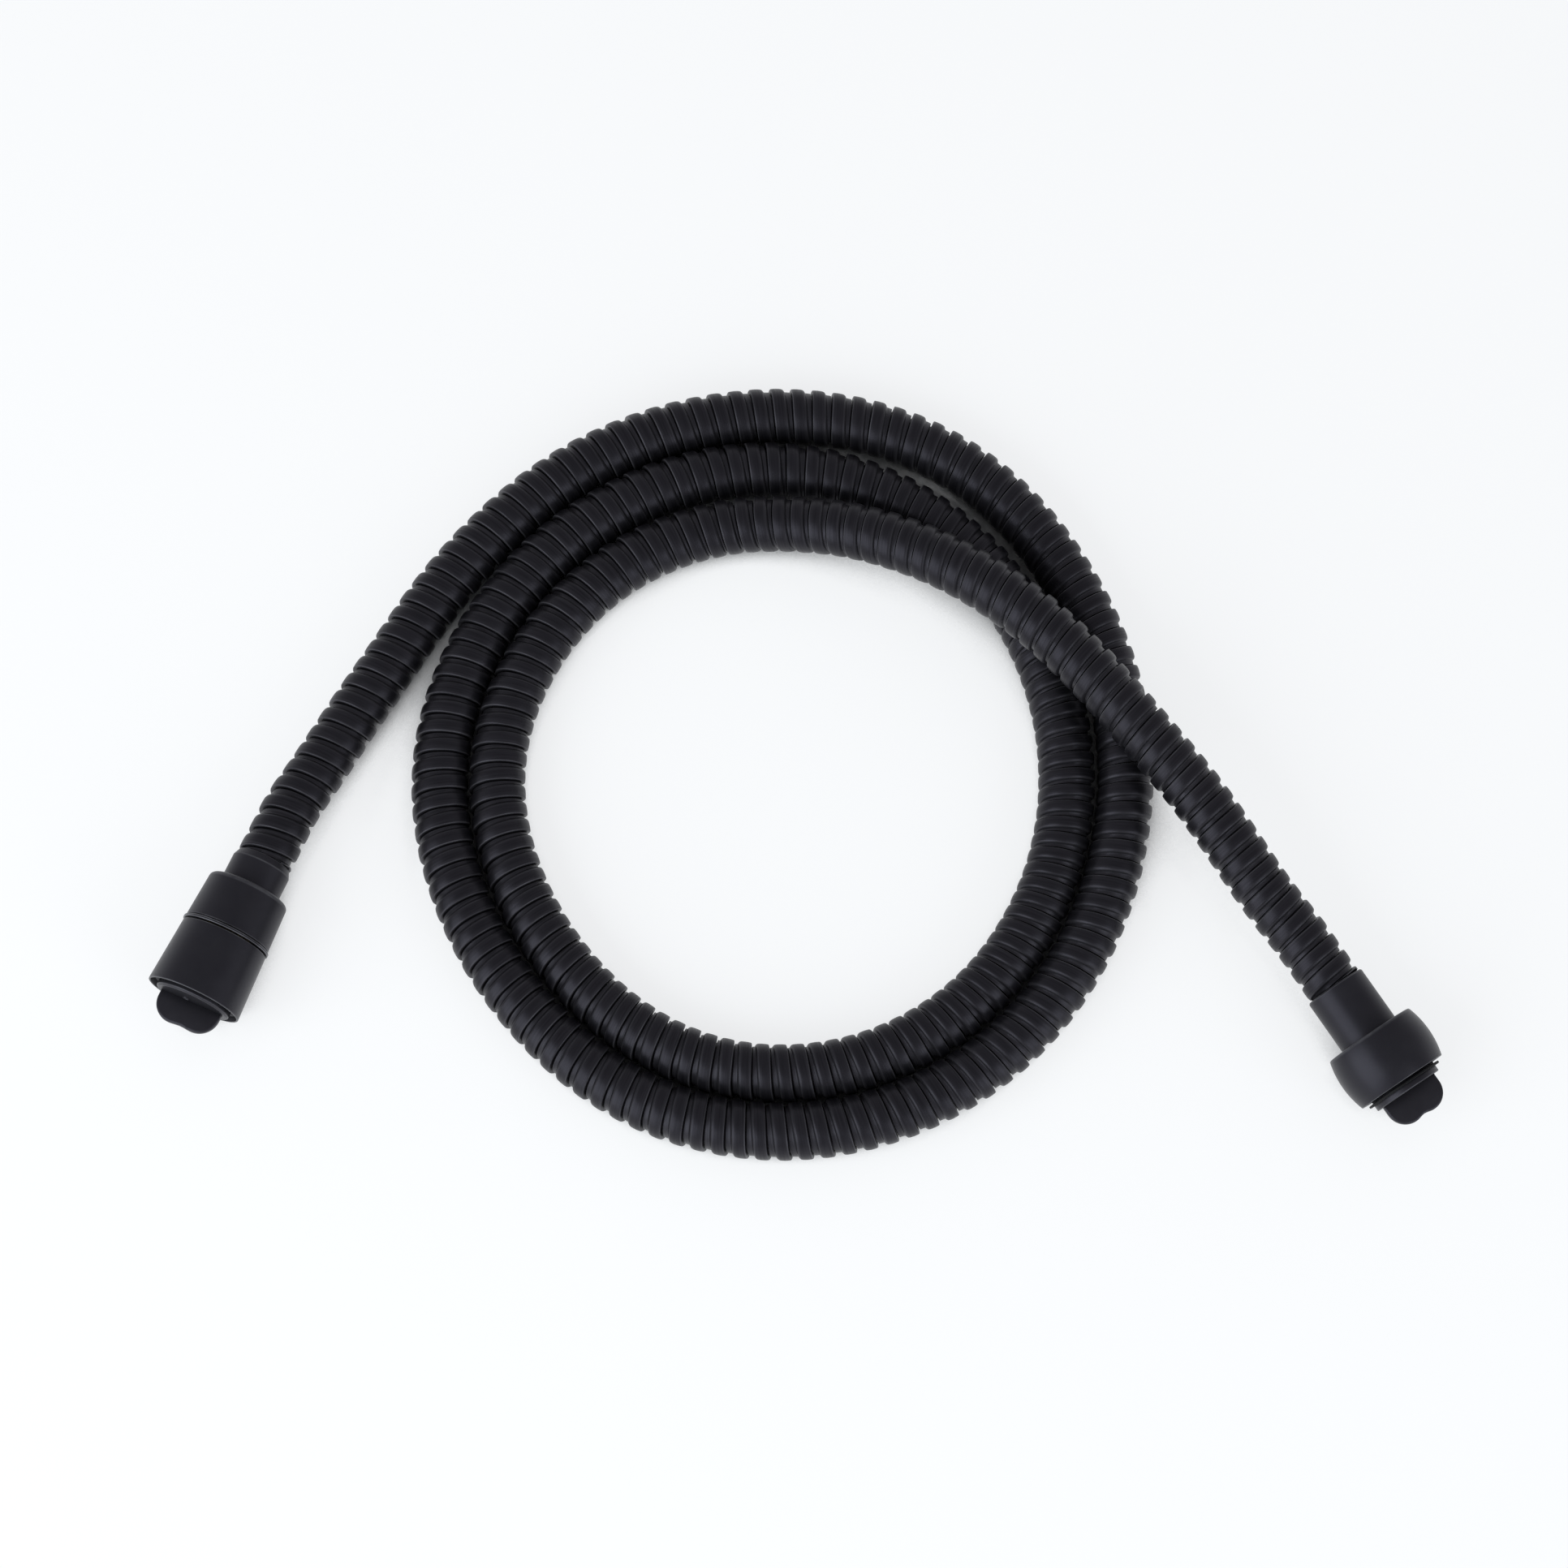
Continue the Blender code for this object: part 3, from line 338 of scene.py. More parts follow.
def casing_look():
    """Black-plated steel strip: fine draw lines along the strip, edges lightened for wear and a painted highlight,
    near-black painted shade at the bottom of the gaps.
    """
    look, tree, shader = nodes_of("casing_look")
    strip = add_attribute(tree, "strip", "Vector")
    wear_and_painted_light = add_attribute(tree, "wear_and_painted_light", "Fac")
    depth = add_attribute(tree, "gap_shade", "Fac")
    place = object_coordinates(tree)
    stretch = tree.nodes.new("ShaderNodeVectorMath")
    stretch.operation = "MULTIPLY"
    stretch.inputs[1].default_value = (70.0, 2300.0, 1.0)
    tree.links.new(strip, stretch.inputs[0])
    lines = add_noise(tree, stretch.outputs[0], 1.0, 4.0, 0.6)
    mottle = add_noise(tree, place, 260.0, 3.0)
    grain = add_noise(tree, place, 3600.0, 2.0)
    body = add_mix(tree, add_range(tree, lines, 0.0, 1.0, 0.35, 0.75), (0.002, 0.002, 0.0025), (0.013, 0.0122, 0.015))
    body = add_mix(tree, add_range(tree, mottle, 0.0, 0.4), body, (0.004, 0.004, 0.005))
    # Lightened towards pale grey: rubbed wear along the rib edges, with a painted highlight there and painted light
    # on the slope and ledge
    rubbed_and_painted_light = add_math(tree, "MULTIPLY", wear_and_painted_light, add_range(tree, lines, 0.1, 0.9))
    edged = add_mix(tree, rubbed_and_painted_light, body, (0.092, 0.09, 0.1))
    # Painted shade: the bottom of each gap between ribs turns near black
    final = add_mix(tree, depth, edged, (0.0005, 0.0005, 0.0006))
    tree.links.new(final, shader.inputs["Base Color"])
    tree.links.new(add_range(tree, lines, 0.46, 0.33), shader.inputs["Roughness"])
    shader.inputs["Specular IOR Level"].default_value = 0.28
    shader.inputs["Specular Tint"].default_value = (*GLOSS_TINT, 1.0)
    fine = add_bump(tree, shader, grain, 0.01 * MM, 0.5)
    add_bump(tree, shader, lines, 0.04 * MM, 1.0, fine)
    return look


def coated_look(name, dark, light, roughness, grain_scale, edge_wear_and_highlight_colour, grain_height=0.012, specular=0.29):
    """Matte black coating: fine orange peel, slight mottling, rounded edges lightened a little for rubbed wear and a
    painted highlight along them.
    """
    look, tree, shader = nodes_of(name)
    place = object_coordinates(tree)
    mottle = add_noise(tree, place, 180.0, 4.0)
    grain = add_noise(tree, place, grain_scale, 2.0)
    edge = add_attribute(tree, "edge", "Fac")
    body = add_mix(tree, add_range(tree, mottle, 0.0, 1.0), dark, light)
    # Rounded edges lightened: rubbed wear and a painted highlight
    rubbed_and_painted_light = add_math(tree, "MULTIPLY", edge, add_range(tree, mottle, 0.2, 0.9))
    tree.links.new(add_mix(tree, rubbed_and_painted_light, body, edge_wear_and_highlight_colour), shader.inputs["Base Color"])
    tree.links.new(add_range(tree, grain, roughness - 0.04, roughness + 0.05), shader.inputs["Roughness"])
    shader.inputs["Specular IOR Level"].default_value = specular
    shader.inputs["Specular Tint"].default_value = (*GLOSS_TINT, 1.0)
    add_bump(tree, shader, grain, grain_height * MM, 0.6)
    return look


def metal_look(name, dark, light, roughness):
    """Turned metal: tool rings from a fine wave round the axis, and a slight tarnish."""
    look, tree, shader = nodes_of(name)
    place = object_coordinates(tree)
    mottle = add_noise(tree, place, 240.0, 4.0)
    rings = add_noise(tree, add_attribute(tree, "rings", "Vector"), 5200.0, 2.0)
    tree.links.new(add_mix(tree, add_range(tree, mottle, 0.0, 1.0), dark, light), shader.inputs["Base Color"])
    tree.links.new(add_range(tree, rings, roughness - 0.08, roughness + 0.1), shader.inputs["Roughness"])
    shader.inputs["Metallic"].default_value = 1.0
    add_bump(tree, shader, rings, 0.01 * MM, 0.5)
    return look


def plain_look(name, dark, light, roughness, scale, specular=0.5):
    """Moulded plastic or rubber: soft mottling and a fine skin."""
    look, tree, shader = nodes_of(name)
    place = object_coordinates(tree)
    mottle = add_noise(tree, place, scale, 4.0)
    skin = add_noise(tree, place, 4200.0, 2.0)
    tree.links.new(add_mix(tree, add_range(tree, mottle, 0.0, 1.0), dark, light), shader.inputs["Base Color"])
    tree.links.new(add_range(tree, skin, roughness - 0.05, roughness + 0.06), shader.inputs["Roughness"])
    shader.inputs["Specular IOR Level"].default_value = specular
    add_bump(tree, shader, skin, 0.012 * MM, 0.5)
    return look


# ---------------------------------------------------------------- route of the hose


def smooth(x):
    x = np.clip(x, 0.0, 1.0)
    return x * x * (3 - 2 * x)


def bump(x):
    return (1 + math.cos(math.pi * x)) / 2 if abs(x) < 1 else 0.0


def turn_radius(angle):
    radius = INNER_TURN_R + 2 * TURN_PITCH + COIL_GROWTH
    for start, end in (STEP_TO_OUTER, STEP_TO_INNER):
        radius -= TURN_PITCH * smooth((angle - start) / (end - start))
    dents = DENTS if angle > LEAD_END else LEAD_BULGE
    return radius + sum(depth * bump(((angle - at + 180) % 360 - 180) / width) for at, width, depth in dents)


def plan_point(angle, radius, height):
    turn = math.radians(angle)
    return COIL_CENTRE + (radius * math.sin(turn), radius * math.cos(turn), height)


def run_point(place):
    angle, turns, height = place
    return plan_point(angle, INNER_TURN_R + TURN_PITCH * turns, height)


def coil_points():
    angles = np.linspace(COIL_IN, COIL_OUT, round((COIL_OUT - COIL_IN) / COIL_STEP) + 1)
    return [plan_point(angle, turn_radius(angle), HOSE_R / MM) for angle in angles]


def axis_of(heading, tilt):
    return np.array(
        (math.cos(heading) * math.cos(tilt), math.sin(heading) * math.cos(tilt), math.sin(tilt))
    )


def route_knots():
    cone_axis, cone_mouth = axis_of(CONE_HEADING, CONE_TILT), run_point(CONE_MOUTH)
    barrel_axis, barrel_mouth = axis_of(BARREL_HEADING, BARREL_TILT), run_point(BARREL_MOUTH)
    grip = CASING_GRIP / MM
    knots = [cone_mouth + cone_axis * grip]
    knots += [cone_mouth - cone_axis * run for run in reversed(STRAIGHT_RUN)]
    lift = (0.0, 0.0, LIFT)
    knots += [run_point(place) + lift for place in CONE_RUN] + coil_points()
    knots += [run_point(place) + lift for place in BARREL_RUN]
    knots += [barrel_mouth - barrel_axis * run for run in STRAIGHT_RUN]
    knots += [barrel_mouth + barrel_axis * grip]
    return np.array(knots) * MM


class Route:
    """A smooth curve through the knots, with its frame and bend at any distance along it."""

    def __init__(self, knots, samples=8000):
        last = len(knots) - 1
        span = np.linalg.norm(np.diff(knots, axis=0), axis=1)
        matrix = np.eye(last + 1)
        bends = np.zeros_like(knots)
        for i in range(1, last):
            matrix[i, i - 1 : i + 2] = (span[i - 1], 2 * (span[i - 1] + span[i]), span[i])
            bends[i] = 6 * ((knots[i + 1] - knots[i]) / span[i] - (knots[i] - knots[i - 1]) / span[i - 1])
        second = np.linalg.solve(matrix, bends)
        start = np.concatenate([[0.0], np.cumsum(span)])
        along = np.linspace(0.0, start[-1], samples)
        i = np.clip(np.searchsorted(start, along) - 1, 0, last - 1)
        h = span[i][:, None]
        a = (start[i + 1] - along)[:, None]
        b = (along - start[i])[:, None]
        cubic = (second[i] * a**3 + second[i + 1] * b**3) / (6 * h)
        line = (knots[i] / h - second[i] * h / 6) * a + (knots[i + 1] / h - second[i + 1] * h / 6) * b
        self.points = cubic + line
        run = np.linalg.norm(np.diff(self.points, axis=0), axis=1)
        self.at = np.concatenate([[0.0], np.cumsum(run)])
        self.length = self.at[-1]
        out = np.gradient(self.points, self.at, axis=0)
        self.out = out / np.linalg.norm(out, axis=1)[:, None]
        self.bend = np.gradient(self.out, self.at, axis=0)
        side = np.cross((0.0, 0.0, 1.0), self.out)
        self.side = side / np.linalg.norm(side, axis=1)[:, None]
        self.up = np.cross(self.out, self.side)

    def read(self, table, distance):
        flat = np.ravel(distance)
        columns = [np.interp(flat, self.at, table[:, c]) for c in range(3)]
        return np.stack(columns, axis=-1).reshape(*np.shape(distance), 3)

    def point(self, distance):
        return self.read(self.points, distance)

    def outward(self, distance, turn):
        """The direction away from the centreline at an angle round it, from its left side over its top."""
        cos, sin = np.cos(turn)[..., None], np.sin(turn)[..., None]
        return cos * self.read(self.side, distance) + sin * self.read(self.up, distance)

    def tightening(self, distance, outward):
        """Bend towards that direction."""
        return np.sum(self.read(self.bend, distance) * outward, axis=-1)


# ---------------------------------------------------------------- meshes


def add_mesh(name, points, faces, look, sharp, attributes=()):
    mesh = bpy.data.meshes.new(name)
    mesh.from_pydata([tuple(p) for p in points], [], faces)
    for label, kind, values in attributes:
        layer = mesh.attributes.new(label, kind, "POINT")
        key = "vector" if kind == "FLOAT_VECTOR" else "value"
        layer.data.foreach_set(key, np.ravel(values).astype(np.float32))
    body = bmesh.new()
    body.from_mesh(mesh)
    bmesh.ops.remove_doubles(body, verts=body.verts, dist=WELD)
    bmesh.ops.recalc_face_normals(body, faces=body.faces)
    body.to_mesh(mesh)
    body.free()
    mesh.shade_smooth()
    mesh.set_sharp_from_angle(angle=math.radians(sharp))
    mesh.materials.append(look)
    piece = bpy.data.objects.new(name, mesh)
    bpy.context.scene.collection.objects.link(piece)
    return piece


def finish_piece(piece, body, slot, *nodes):
    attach(piece, body)
    if nodes:
        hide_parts(*nodes)
    return piece


def make_casing(route, look):
    """The wound strip: a right-handed helix whose ribs keep their shape where the hose bends."""
    random = np.random.default_rng(CASING_SEED)
    angle = np.unwrap(np.arctan2(*(route.points / MM - COIL_CENTRE)[:, :2].T))
    angle += 2 * math.pi * round((math.radians(PITCHES[0][0]) - angle[0]) / (2 * math.pi))
    pitch = np.interp(np.degrees(angle), *zip(*PITCHES)) * MM
    phase = np.concatenate([[0.0], np.cumsum(np.diff(route.at) / ((pitch[1:] + pitch[:-1]) / 2))])
    turns = STRIP_TURNS
    phase *= turns / phase[-1]  # the pitches give the ribs' spacing, and this their exact number
    steps = np.arange(-TURN_STEPS, int((turns + 1) * TURN_STEPS))
    wobble_at = np.arange(-2, turns + 3, 0.5)
    wobble = np.interp(steps / TURN_STEPS, wobble_at, random.uniform(-1, 1, len(wobble_at)))
    drift = np.interp(steps / TURN_STEPS, wobble_at, random.uniform(-1, 1, len(wobble_at)))
    turn = 2 * math.pi * steps / TURN_STEPS

    def extended(share):
        """Distance along the hose at a phase, carried on straight past both ends."""
        inside = np.interp(share, phase, route.at)
        return inside + np.minimum(share, 0) * pitch[0] + np.maximum(share - turns, 0) * pitch[-1]

    middle = extended(steps / TURN_STEPS + RIB_MIDDLE - STRIP_START) + drift * WAVER * MM
    local = np.interp(middle, route.at, pitch)
    outward = route.outward(np.clip(middle, 0, route.length), turn)
    tightening = route.tightening(np.clip(middle, 0, route.length), outward)
    rib = local / (1 - HOSE_R * tightening)
    share, below, wear_and_painted_light = (np.array(column) for column in zip(*STRIP))
    along = middle[:, None] + (share - RIB_MIDDLE) * rib[:, None]
    sunk = np.tile(below, (len(steps), 1))
    rubbed_and_painted_light = np.tile(wear_and_painted_light, (len(steps), 1))
    start = along[:, 0]
    after = np.concatenate([start[TURN_STEPS:], start[-TURN_STEPS:] + local[-TURN_STEPS:]])
    room = after - along[:, -1]
    gap = np.minimum(GAP * MM, GAP_MOST * room)
    foot = along[:, -1]
    ledge = [(foot + q * (room - gap), depth, LEDGE_PAINTED_LIGHT) for q, depth in LEDGE]
    for place, depth, value in [*ledge, (after - gap, GAP_LIP, 0.0), (after - 0.9 * gap, GAP_FLOOR, 0.0)]:
        along = np.column_stack([along, place])
        sunk = np.column_stack([sunk, np.full(len(steps), depth)])
        rubbed_and_painted_light = np.column_stack([rubbed_and_painted_light, np.full(len(steps), value)])
    across = along.shape[1]

    ended = (along <= 0) | (along >= route.length)
    along = np.clip(along, 0, route.length)
    from_barrel = route.length - along
    drawn = smooth((CASING_GRIP + CONE_DRAW[0] * MM - along) / (CONE_DRAW[1] * MM))
    drawn = drawn + smooth((CASING_GRIP + BARREL_DRAW[0] * MM - from_barrel) / (BARREL_DRAW[1] * MM))
    sunk = np.maximum(sunk, DRAWN_IN * drawn)
    radius = HOSE_R - (sunk + np.abs(wobble[:, None]) * WAVER) * MM
    radius = np.where(ended, HOSE_R - GAP_FLOOR * MM, radius)
    points = route.point(along) + route.outward(along, np.tile(turn[:, None], (1, across))) * radius[..., None]

    index = np.arange(points.shape[0] * across).reshape(-1, across)
    faces = []
    for j in range(across - 1):
        faces += np.column_stack([index[:-1, j], index[1:, j], index[1:, j + 1], index[:-1, j + 1]]).tolist()
    last = index[:-TURN_STEPS, across - 1]
    first = index[TURN_STEPS:, 0]
    faces += np.column_stack([last[:-1], last[1:], first[1:], first[:-1]]).tolist()
    live = ~np.all(ended, axis=1)
    reach = np.nonzero(live)[0]
    keep = range(max(reach[0] - TURN_STEPS, 0), min(reach[-1] + TURN_STEPS, len(steps)))
    low, high = keep.start * across, keep.stop * across
    faces = [[v - low for v in face] for face in faces if low <= min(face) and max(face) < high]
    strip = np.zeros((len(steps), across, 3))
    strip[..., 0] = (turn * HOSE_R)[:, None]
    strip[..., 1] = (along - middle[:, None])
    # How far each point lies in the painted shade at the bottom of the gap
    gap_shade = np.clip((sunk - GAP_SHADE_START) / GAP_SHADE_FADE, 0, 1)
    part = slice(keep.start, keep.stop)
    return add_mesh(
        "casing",
        points[part].reshape(-1, 3),
        faces,
        look,
        38,
        (
            ("wear_and_painted_light", "FLOAT", rubbed_and_painted_light[part]),
            ("gap_shade", "FLOAT", gap_shade[part]),
            ("strip", "FLOAT_VECTOR", strip[part]),
        ),
    )


def make_tube(name, route, outer, inner, start, end, look, steps=24):
    """A smooth hollow tube along the route between two distances."""
    along = np.linspace(start, end, round((end - start) / TUBE_STEP))
    loop = []
    turn = 2 * math.pi * np.arange(steps) / steps
    for radius in (outer, inner):
        places = np.repeat(along[:, None], steps, axis=1)
        beyond = np.minimum(places, 0) + np.maximum(places - route.length, 0)
        clipped = np.clip(places, 0, route.length)
        straight = route.read(route.out, clipped) * beyond[..., None]
        wall = route.outward(clipped, np.tile(turn, (len(along), 1))) * radius
        loop.append((route.point(clipped) + straight + wall).reshape(-1, 3))
    count = len(along) * steps
    faces = []
    for ring in range(len(along) - 1):
        for k in range(steps):
            a, b = ring * steps + k, ring * steps + (k + 1) % steps
            faces.append((a, b, b + steps, a + steps))
            faces.append((count + a, count + a + steps, count + b + steps, count + b))
    for ring in (0, len(along) - 1):
        for k in range(steps):
            a, b = ring * steps + k, ring * steps + (k + 1) % steps
            faces.append((a, b, count + b, count + a))
    return add_mesh(name, np.concatenate(loop), faces, look, 50)


def end_place(mouth, heading, tilt):
    """Frame at a ferrule's mouth: X level to the side, Y up, Z out along the fitting's axis."""
    out = Vector(axis_of(heading, tilt))
    side = Vector((0, 0, 1)).cross(out).normalized()
    up = out.cross(side)
    turn = Matrix((side, up, out)).transposed().to_4x4()
    return Matrix.Translation(Vector(run_point(mouth) * MM)) @ turn


def rounded(corners):
    """Outline through corners of (radius, station, rounding), as (radius, station, on a rounding)."""
    outline = []
    for i, (x, y, size) in enumerate(corners):
        corner = np.array((x, y))
        if size <= 0:
            outline.append((x, y, 0.0))
            continue
        before = np.array(corners[i - 1][:2]) - corner
        after = np.array(corners[(i + 1) % len(corners)][:2]) - corner
        a, b = before / np.linalg.norm(before), after / np.linalg.norm(after)
        half = math.acos(np.clip(a @ b, -1, 1)) / 2
        reach = size / math.tan(half)
        middle = corner + (a + b) / np.linalg.norm(a + b) * size / math.sin(half)
        first, last = corner + a * reach - middle, corner + b * reach - middle
        support = min(0.4 * size, 0.3)
        if np.linalg.norm(before) > 2 * (reach + support):
            outline.append((*(corner + a * (reach + support)), 0.0))
        for step in range(ROUND_STEPS + 1):
            share = step / ROUND_STEPS
            way = first * (1 - share) + last * share
            outline.append((*(middle + way / np.linalg.norm(way) * size), 1.0))
        if np.linalg.norm(after) > 2 * (reach + support):
            outline.append((*(corner + b * (reach + support)), 0.0))
    return outline


def lathe(name, place, corners, look, sharp=40, steps=LATHE_STEPS):
    """A piece turned about the fitting's axis from its closed outline, in millimetres."""
    outline = rounded(corners)
    turn = 2 * math.pi * np.arange(steps) / steps
    radius, station, edge = (np.array(column) for column in zip(*outline))
    local = np.stack(
        [
            np.outer(np.cos(turn), radius),
            np.outer(np.sin(turn), radius),
            np.tile(station, (steps, 1)),
        ],
        axis=-1,
    ).reshape(-1, 3) * MM
    turned = np.array(place.to_3x3())
    points = local @ turned.T + np.array(place.translation)
    count = len(outline)
    faces = []
    for k in range(steps):
        for j in range(count):
            a, b = k * count, (k + 1) % steps * count
            n = (j + 1) % count
            if radius[j] < 1e-6 and radius[n] < 1e-6:
                continue
            faces.append((a + j, a + n, b + n, b + j))
    rings = np.tile(np.column_stack([radius, station, np.zeros(count)]) * MM, (steps, 1))
    return add_mesh(
        name,
        points,
        faces,
        look,
        sharp,
        (("edge", "FLOAT", np.tile(edge, steps)), ("rings", "FLOAT_VECTOR", rings)),
    )


def thread(name, place, start, end, root, crest, look, steps=48):
    """A helical ridge on a bore or a shank, faded in and out at both ends."""
    turns = (end - start) / THREAD_PITCH
    count = int(turns * steps) + 1
    share = np.linspace(0, turns, count)
    turn = 2 * math.pi * share
    fade = smooth(share / THREAD_FADE) * smooth((turns - share) / THREAD_FADE)
    section = ((-0.46, 0.0), (-0.1, 1.0), (0.1, 1.0), (0.46, 0.0))
    sunk = THREAD_OVERLAP if crest < root else -THREAD_OVERLAP
    points = []
    for offset, height in section:
        radius = (root + sunk) + (crest - root - sunk) * height * fade
        station = start + share * THREAD_PITCH + offset * THREAD_PITCH
        points.append(np.column_stack([radius * np.cos(turn), radius * np.sin(turn), station]))
    local = np.stack(points, axis=1).reshape(-1, 3) * MM
    world = local @ np.array(place.to_3x3()).T + np.array(place.translation)
    wide = len(section)
    faces = []
    for i in range(count - 1):
        for j in range(wide):
            n = (j + 1) % wide
            faces.append((i * wide + j, (i + 1) * wide + j, (i + 1) * wide + n, i * wide + n))
    faces.append(tuple(range(wide)))
    faces.append(tuple(range((count - 1) * wide, count * wide)))
    # Thread crests take the edge colour too: rubbed wear and a painted highlight
    edge = np.tile([0.0, 0.6, 0.6, 0.0], count)
    return add_mesh(name, world, faces, look, 30, (("edge", "FLOAT", edge),))


def pull_tab(name, place, base, reach, size, apart, notch, thick, look):
    """Two round lobes side by side with a shallow dip between them, and a soft edge all round."""
    outline = [(apart + size, base)]
    for step in range(LOBE_STEPS + 1):
        angle = math.pi / 2 * step / LOBE_STEPS
        outline.append((apart + size * math.cos(angle), reach - size + size * math.sin(angle)))
    for step in range(1, DIP_STEPS + 1):
        outline.append((apart * (1 - step / DIP_STEPS), reach - notch * bump(1 - step / DIP_STEPS)))
    outline += [(-x, y) for x, y in reversed(outline[:-1])]
    body = bmesh.new()
    loop = [body.verts.new((x * MM, -thick / 2 * MM, y * MM)) for x, y in outline]
    face = body.faces.new(loop)
    pushed = bmesh.ops.extrude_face_region(body, geom=[face])
    moved = [item for item in pushed["geom"] if isinstance(item, bmesh.types.BMVert)]
    bmesh.ops.translate(body, verts=moved, vec=(0.0, thick * MM, 0.0))
    bmesh.ops.recalc_face_normals(body, faces=body.faces)
    rims = [e for e in body.edges if abs(e.verts[0].co.y - e.verts[1].co.y) < 1e-6]
    bmesh.ops.bevel(
        body, geom=rims, offset=TAB_EDGE, offset_type="OFFSET", segments=3, profile=0.5, affect="EDGES",
        clamp_overlap=True,
    )
    body.transform(place)
    mesh = bpy.data.meshes.new(name)
    body.to_mesh(mesh)
    body.free()
    mesh.shade_smooth()
    mesh.set_sharp_from_angle(angle=math.radians(30))
    mesh.materials.append(look)
    tab = bpy.data.objects.new(name, mesh)
    bpy.context.scene.collection.objects.link(tab)
    return tab


# ---------------------------------------------------------------- cone end


def cone_r(station):
    (rear, rear_r), (rim, rim_r) = CONE_FLANK
    return rear_r + (rim_r - rear_r) * (station - rear) / (rim - rear)


def make_cone_end(place, looks):
    coat, plastic, brass, rubber, tight = (looks[k] for k in ("coat", "plastic", "brass", "rubber", "nut"))
    ferrule = [(7.8, 12.7, 0.0), (7.8, 1.9, 0.5), (6.98, 0.0, 0.2), (6.6, 0.0, 0.1), (6.6, 11.6, 0.0)]
    ferrule += [(4.9, 11.6, 0.0), (4.9, 12.7, 0.0)]
    finish_piece(lathe("cone_ferrule_shell", place, ferrule, coat), "hose", "black_fitting", "cone_end_ferrule")
    sleeve = [(cone_r(21.5), 21.5, 0.25), (cone_r(8.6), 8.6, 1.2), (7.9, 8.6, 0.25), (7.9, 12.7, 0.0)]
    sleeve += [(7.7, 12.7, 0.0), (7.7, 21.5, 0.1)]
    finish_piece(lathe("rear_sleeve_shell", place, sleeve, coat), "hose", "black_fitting", "cone_rear_sleeve")
    proud = cone_r(22.2) + 0.35
    seam = [(7.2, 21.75, 0.0), (proud, 21.75, 0.2), (proud, 22.5, 0.18), (7.2, 22.5, 0.0)]
    # The ring look paints a highlight along the ring's rounded edges
    ring = lathe("seam_ring_shell", place, seam, looks["ring"])
    finish_piece(ring, "cone_nut", "black_plastic", "seam_ring")
    nut = [(7.2, 22.9, 0.0), (cone_r(22.9), 22.9, 0.2), (12.5, 40.5, 0.18), (12.02, 40.5, 0.12)]
    nut += [(11.6, 39.0, 0.2), (10.6, 38.5, 0.1), (THREAD_R, 37.9, 0.0), (THREAD_R, 25.4, 0.0), (7.2, 25.4, 0.3)]
    finish_piece(lathe("cone_nut_shell", place, nut, tight), "cone_nut", "black_fitting", "cone_nut")
    ridge = thread("cone_nut_thread", place, 29.9, 37.6, THREAD_R, 9.34, coat)
    finish_piece(ridge, "cone_nut", "black_fitting")
    spindle = [(2.26, 14.3, 0.2), (4.9, 14.3, 0.3), (4.9, 20.9, 0.0), (6.9, 20.9, 0.2), (6.9, 25.7, 0.0)]
    spindle += [(9.6, 25.7, 0.2), (9.6, 27.3, 0.2), (2.26, 27.3, 0.3)]
    turned = lathe("spindle_turned", place, spindle, brass, steps=INNER_STEPS)
    finish_piece(turned, "cone_spindle", "brass", "swivel_spindle")
    make_washer("cone_washer", place, 27.6, rubber, "cone_spindle", "cone_nut_washer")
    cup = [(0.0, 41.4, 0.0), (9.4, 41.4, 0.25), (10.0, 40.95, 0.25), (10.0, 38.9, 0.2), (8.75, 38.9, 0.0)]
    cup += [(8.75, 29.9, 0.3), (7.5, 29.9, 0.3), (7.5, 38.8, 0.4), (0.0, 38.8, 0.0)]
    finish_piece(lathe("cone_plug_cup", place, cup, plastic), "cone_plug", "black_plastic", "cone_end_plug")
    screw = thread("cone_plug_thread", place, 31.0, 38.0, 8.75, 9.26, plastic)
    finish_piece(screw, "cone_plug", "black_plastic")
    lobes = {"base": 41.0, "reach": 48.25, "size": 5.3, "apart": 3.2, "notch": 0.25, "thick": 2.0}
    tab = pull_tab("cone_plug_tab", place, **lobes, look=plastic)
    finish_piece(tab, "cone_plug", "black_plastic")
    # A small moulded mark; its rim takes the ring look, whose pale edge colour paints a glint on it
    spot = place @ Matrix.Translation(Vector((-1.1, 2.9, 41.38)) * MM)
    dimple = [(0.0, 0.02, 0.0), (0.4, 0.03, 0.0), (0.55, 0.26, 0.05), (0.8, 0.26, 0.06), (0.9, 0.0, 0.0)]
    mark = lathe("cone_plug_dimple", spot, [*dimple, (0.0, -0.2, 0.0)], looks["ring"], steps=32)
    finish_piece(mark, "cone_plug", "black_plastic")


def make_washer(name, place, station, look, body, node):
    outline = [(10.15, station, 0.3), (10.15, station + 2.0, 0.3), (5.0, station + 2.0, 0.3), (5.0, station, 0.3)]
    finish_piece(lathe(name, place, outline, look), body, "black_rubber", node)


# ---------------------------------------------------------------- barrel end


def barrel_corners():
    """The barrel nut's outline: its side swells to a belly half way along."""
    start, end, rim, belly = 14.9, 29.2, 12.0, 13.1
    half = (end - start) / 2
    bend = (half**2 + (belly - rim) ** 2) / (2 * (belly - rim))
    corners = [(9.0, start, 0.2), (rim, start, 0.5)]
    for step in range(1, BELLY_STEPS):
        y = -half + 2 * half * step / BELLY_STEPS
        corners.append((belly - bend + math.sqrt(bend**2 - y**2), start + half + y, 0.0))
    corners += [(rim, end, 0.18), (10.98, end, 0.15), (THREAD_R, end - 0.5, 0.0), (THREAD_R, 16.1, 0.0)]
    return corners + [(9.0, 16.1, 0.2)]


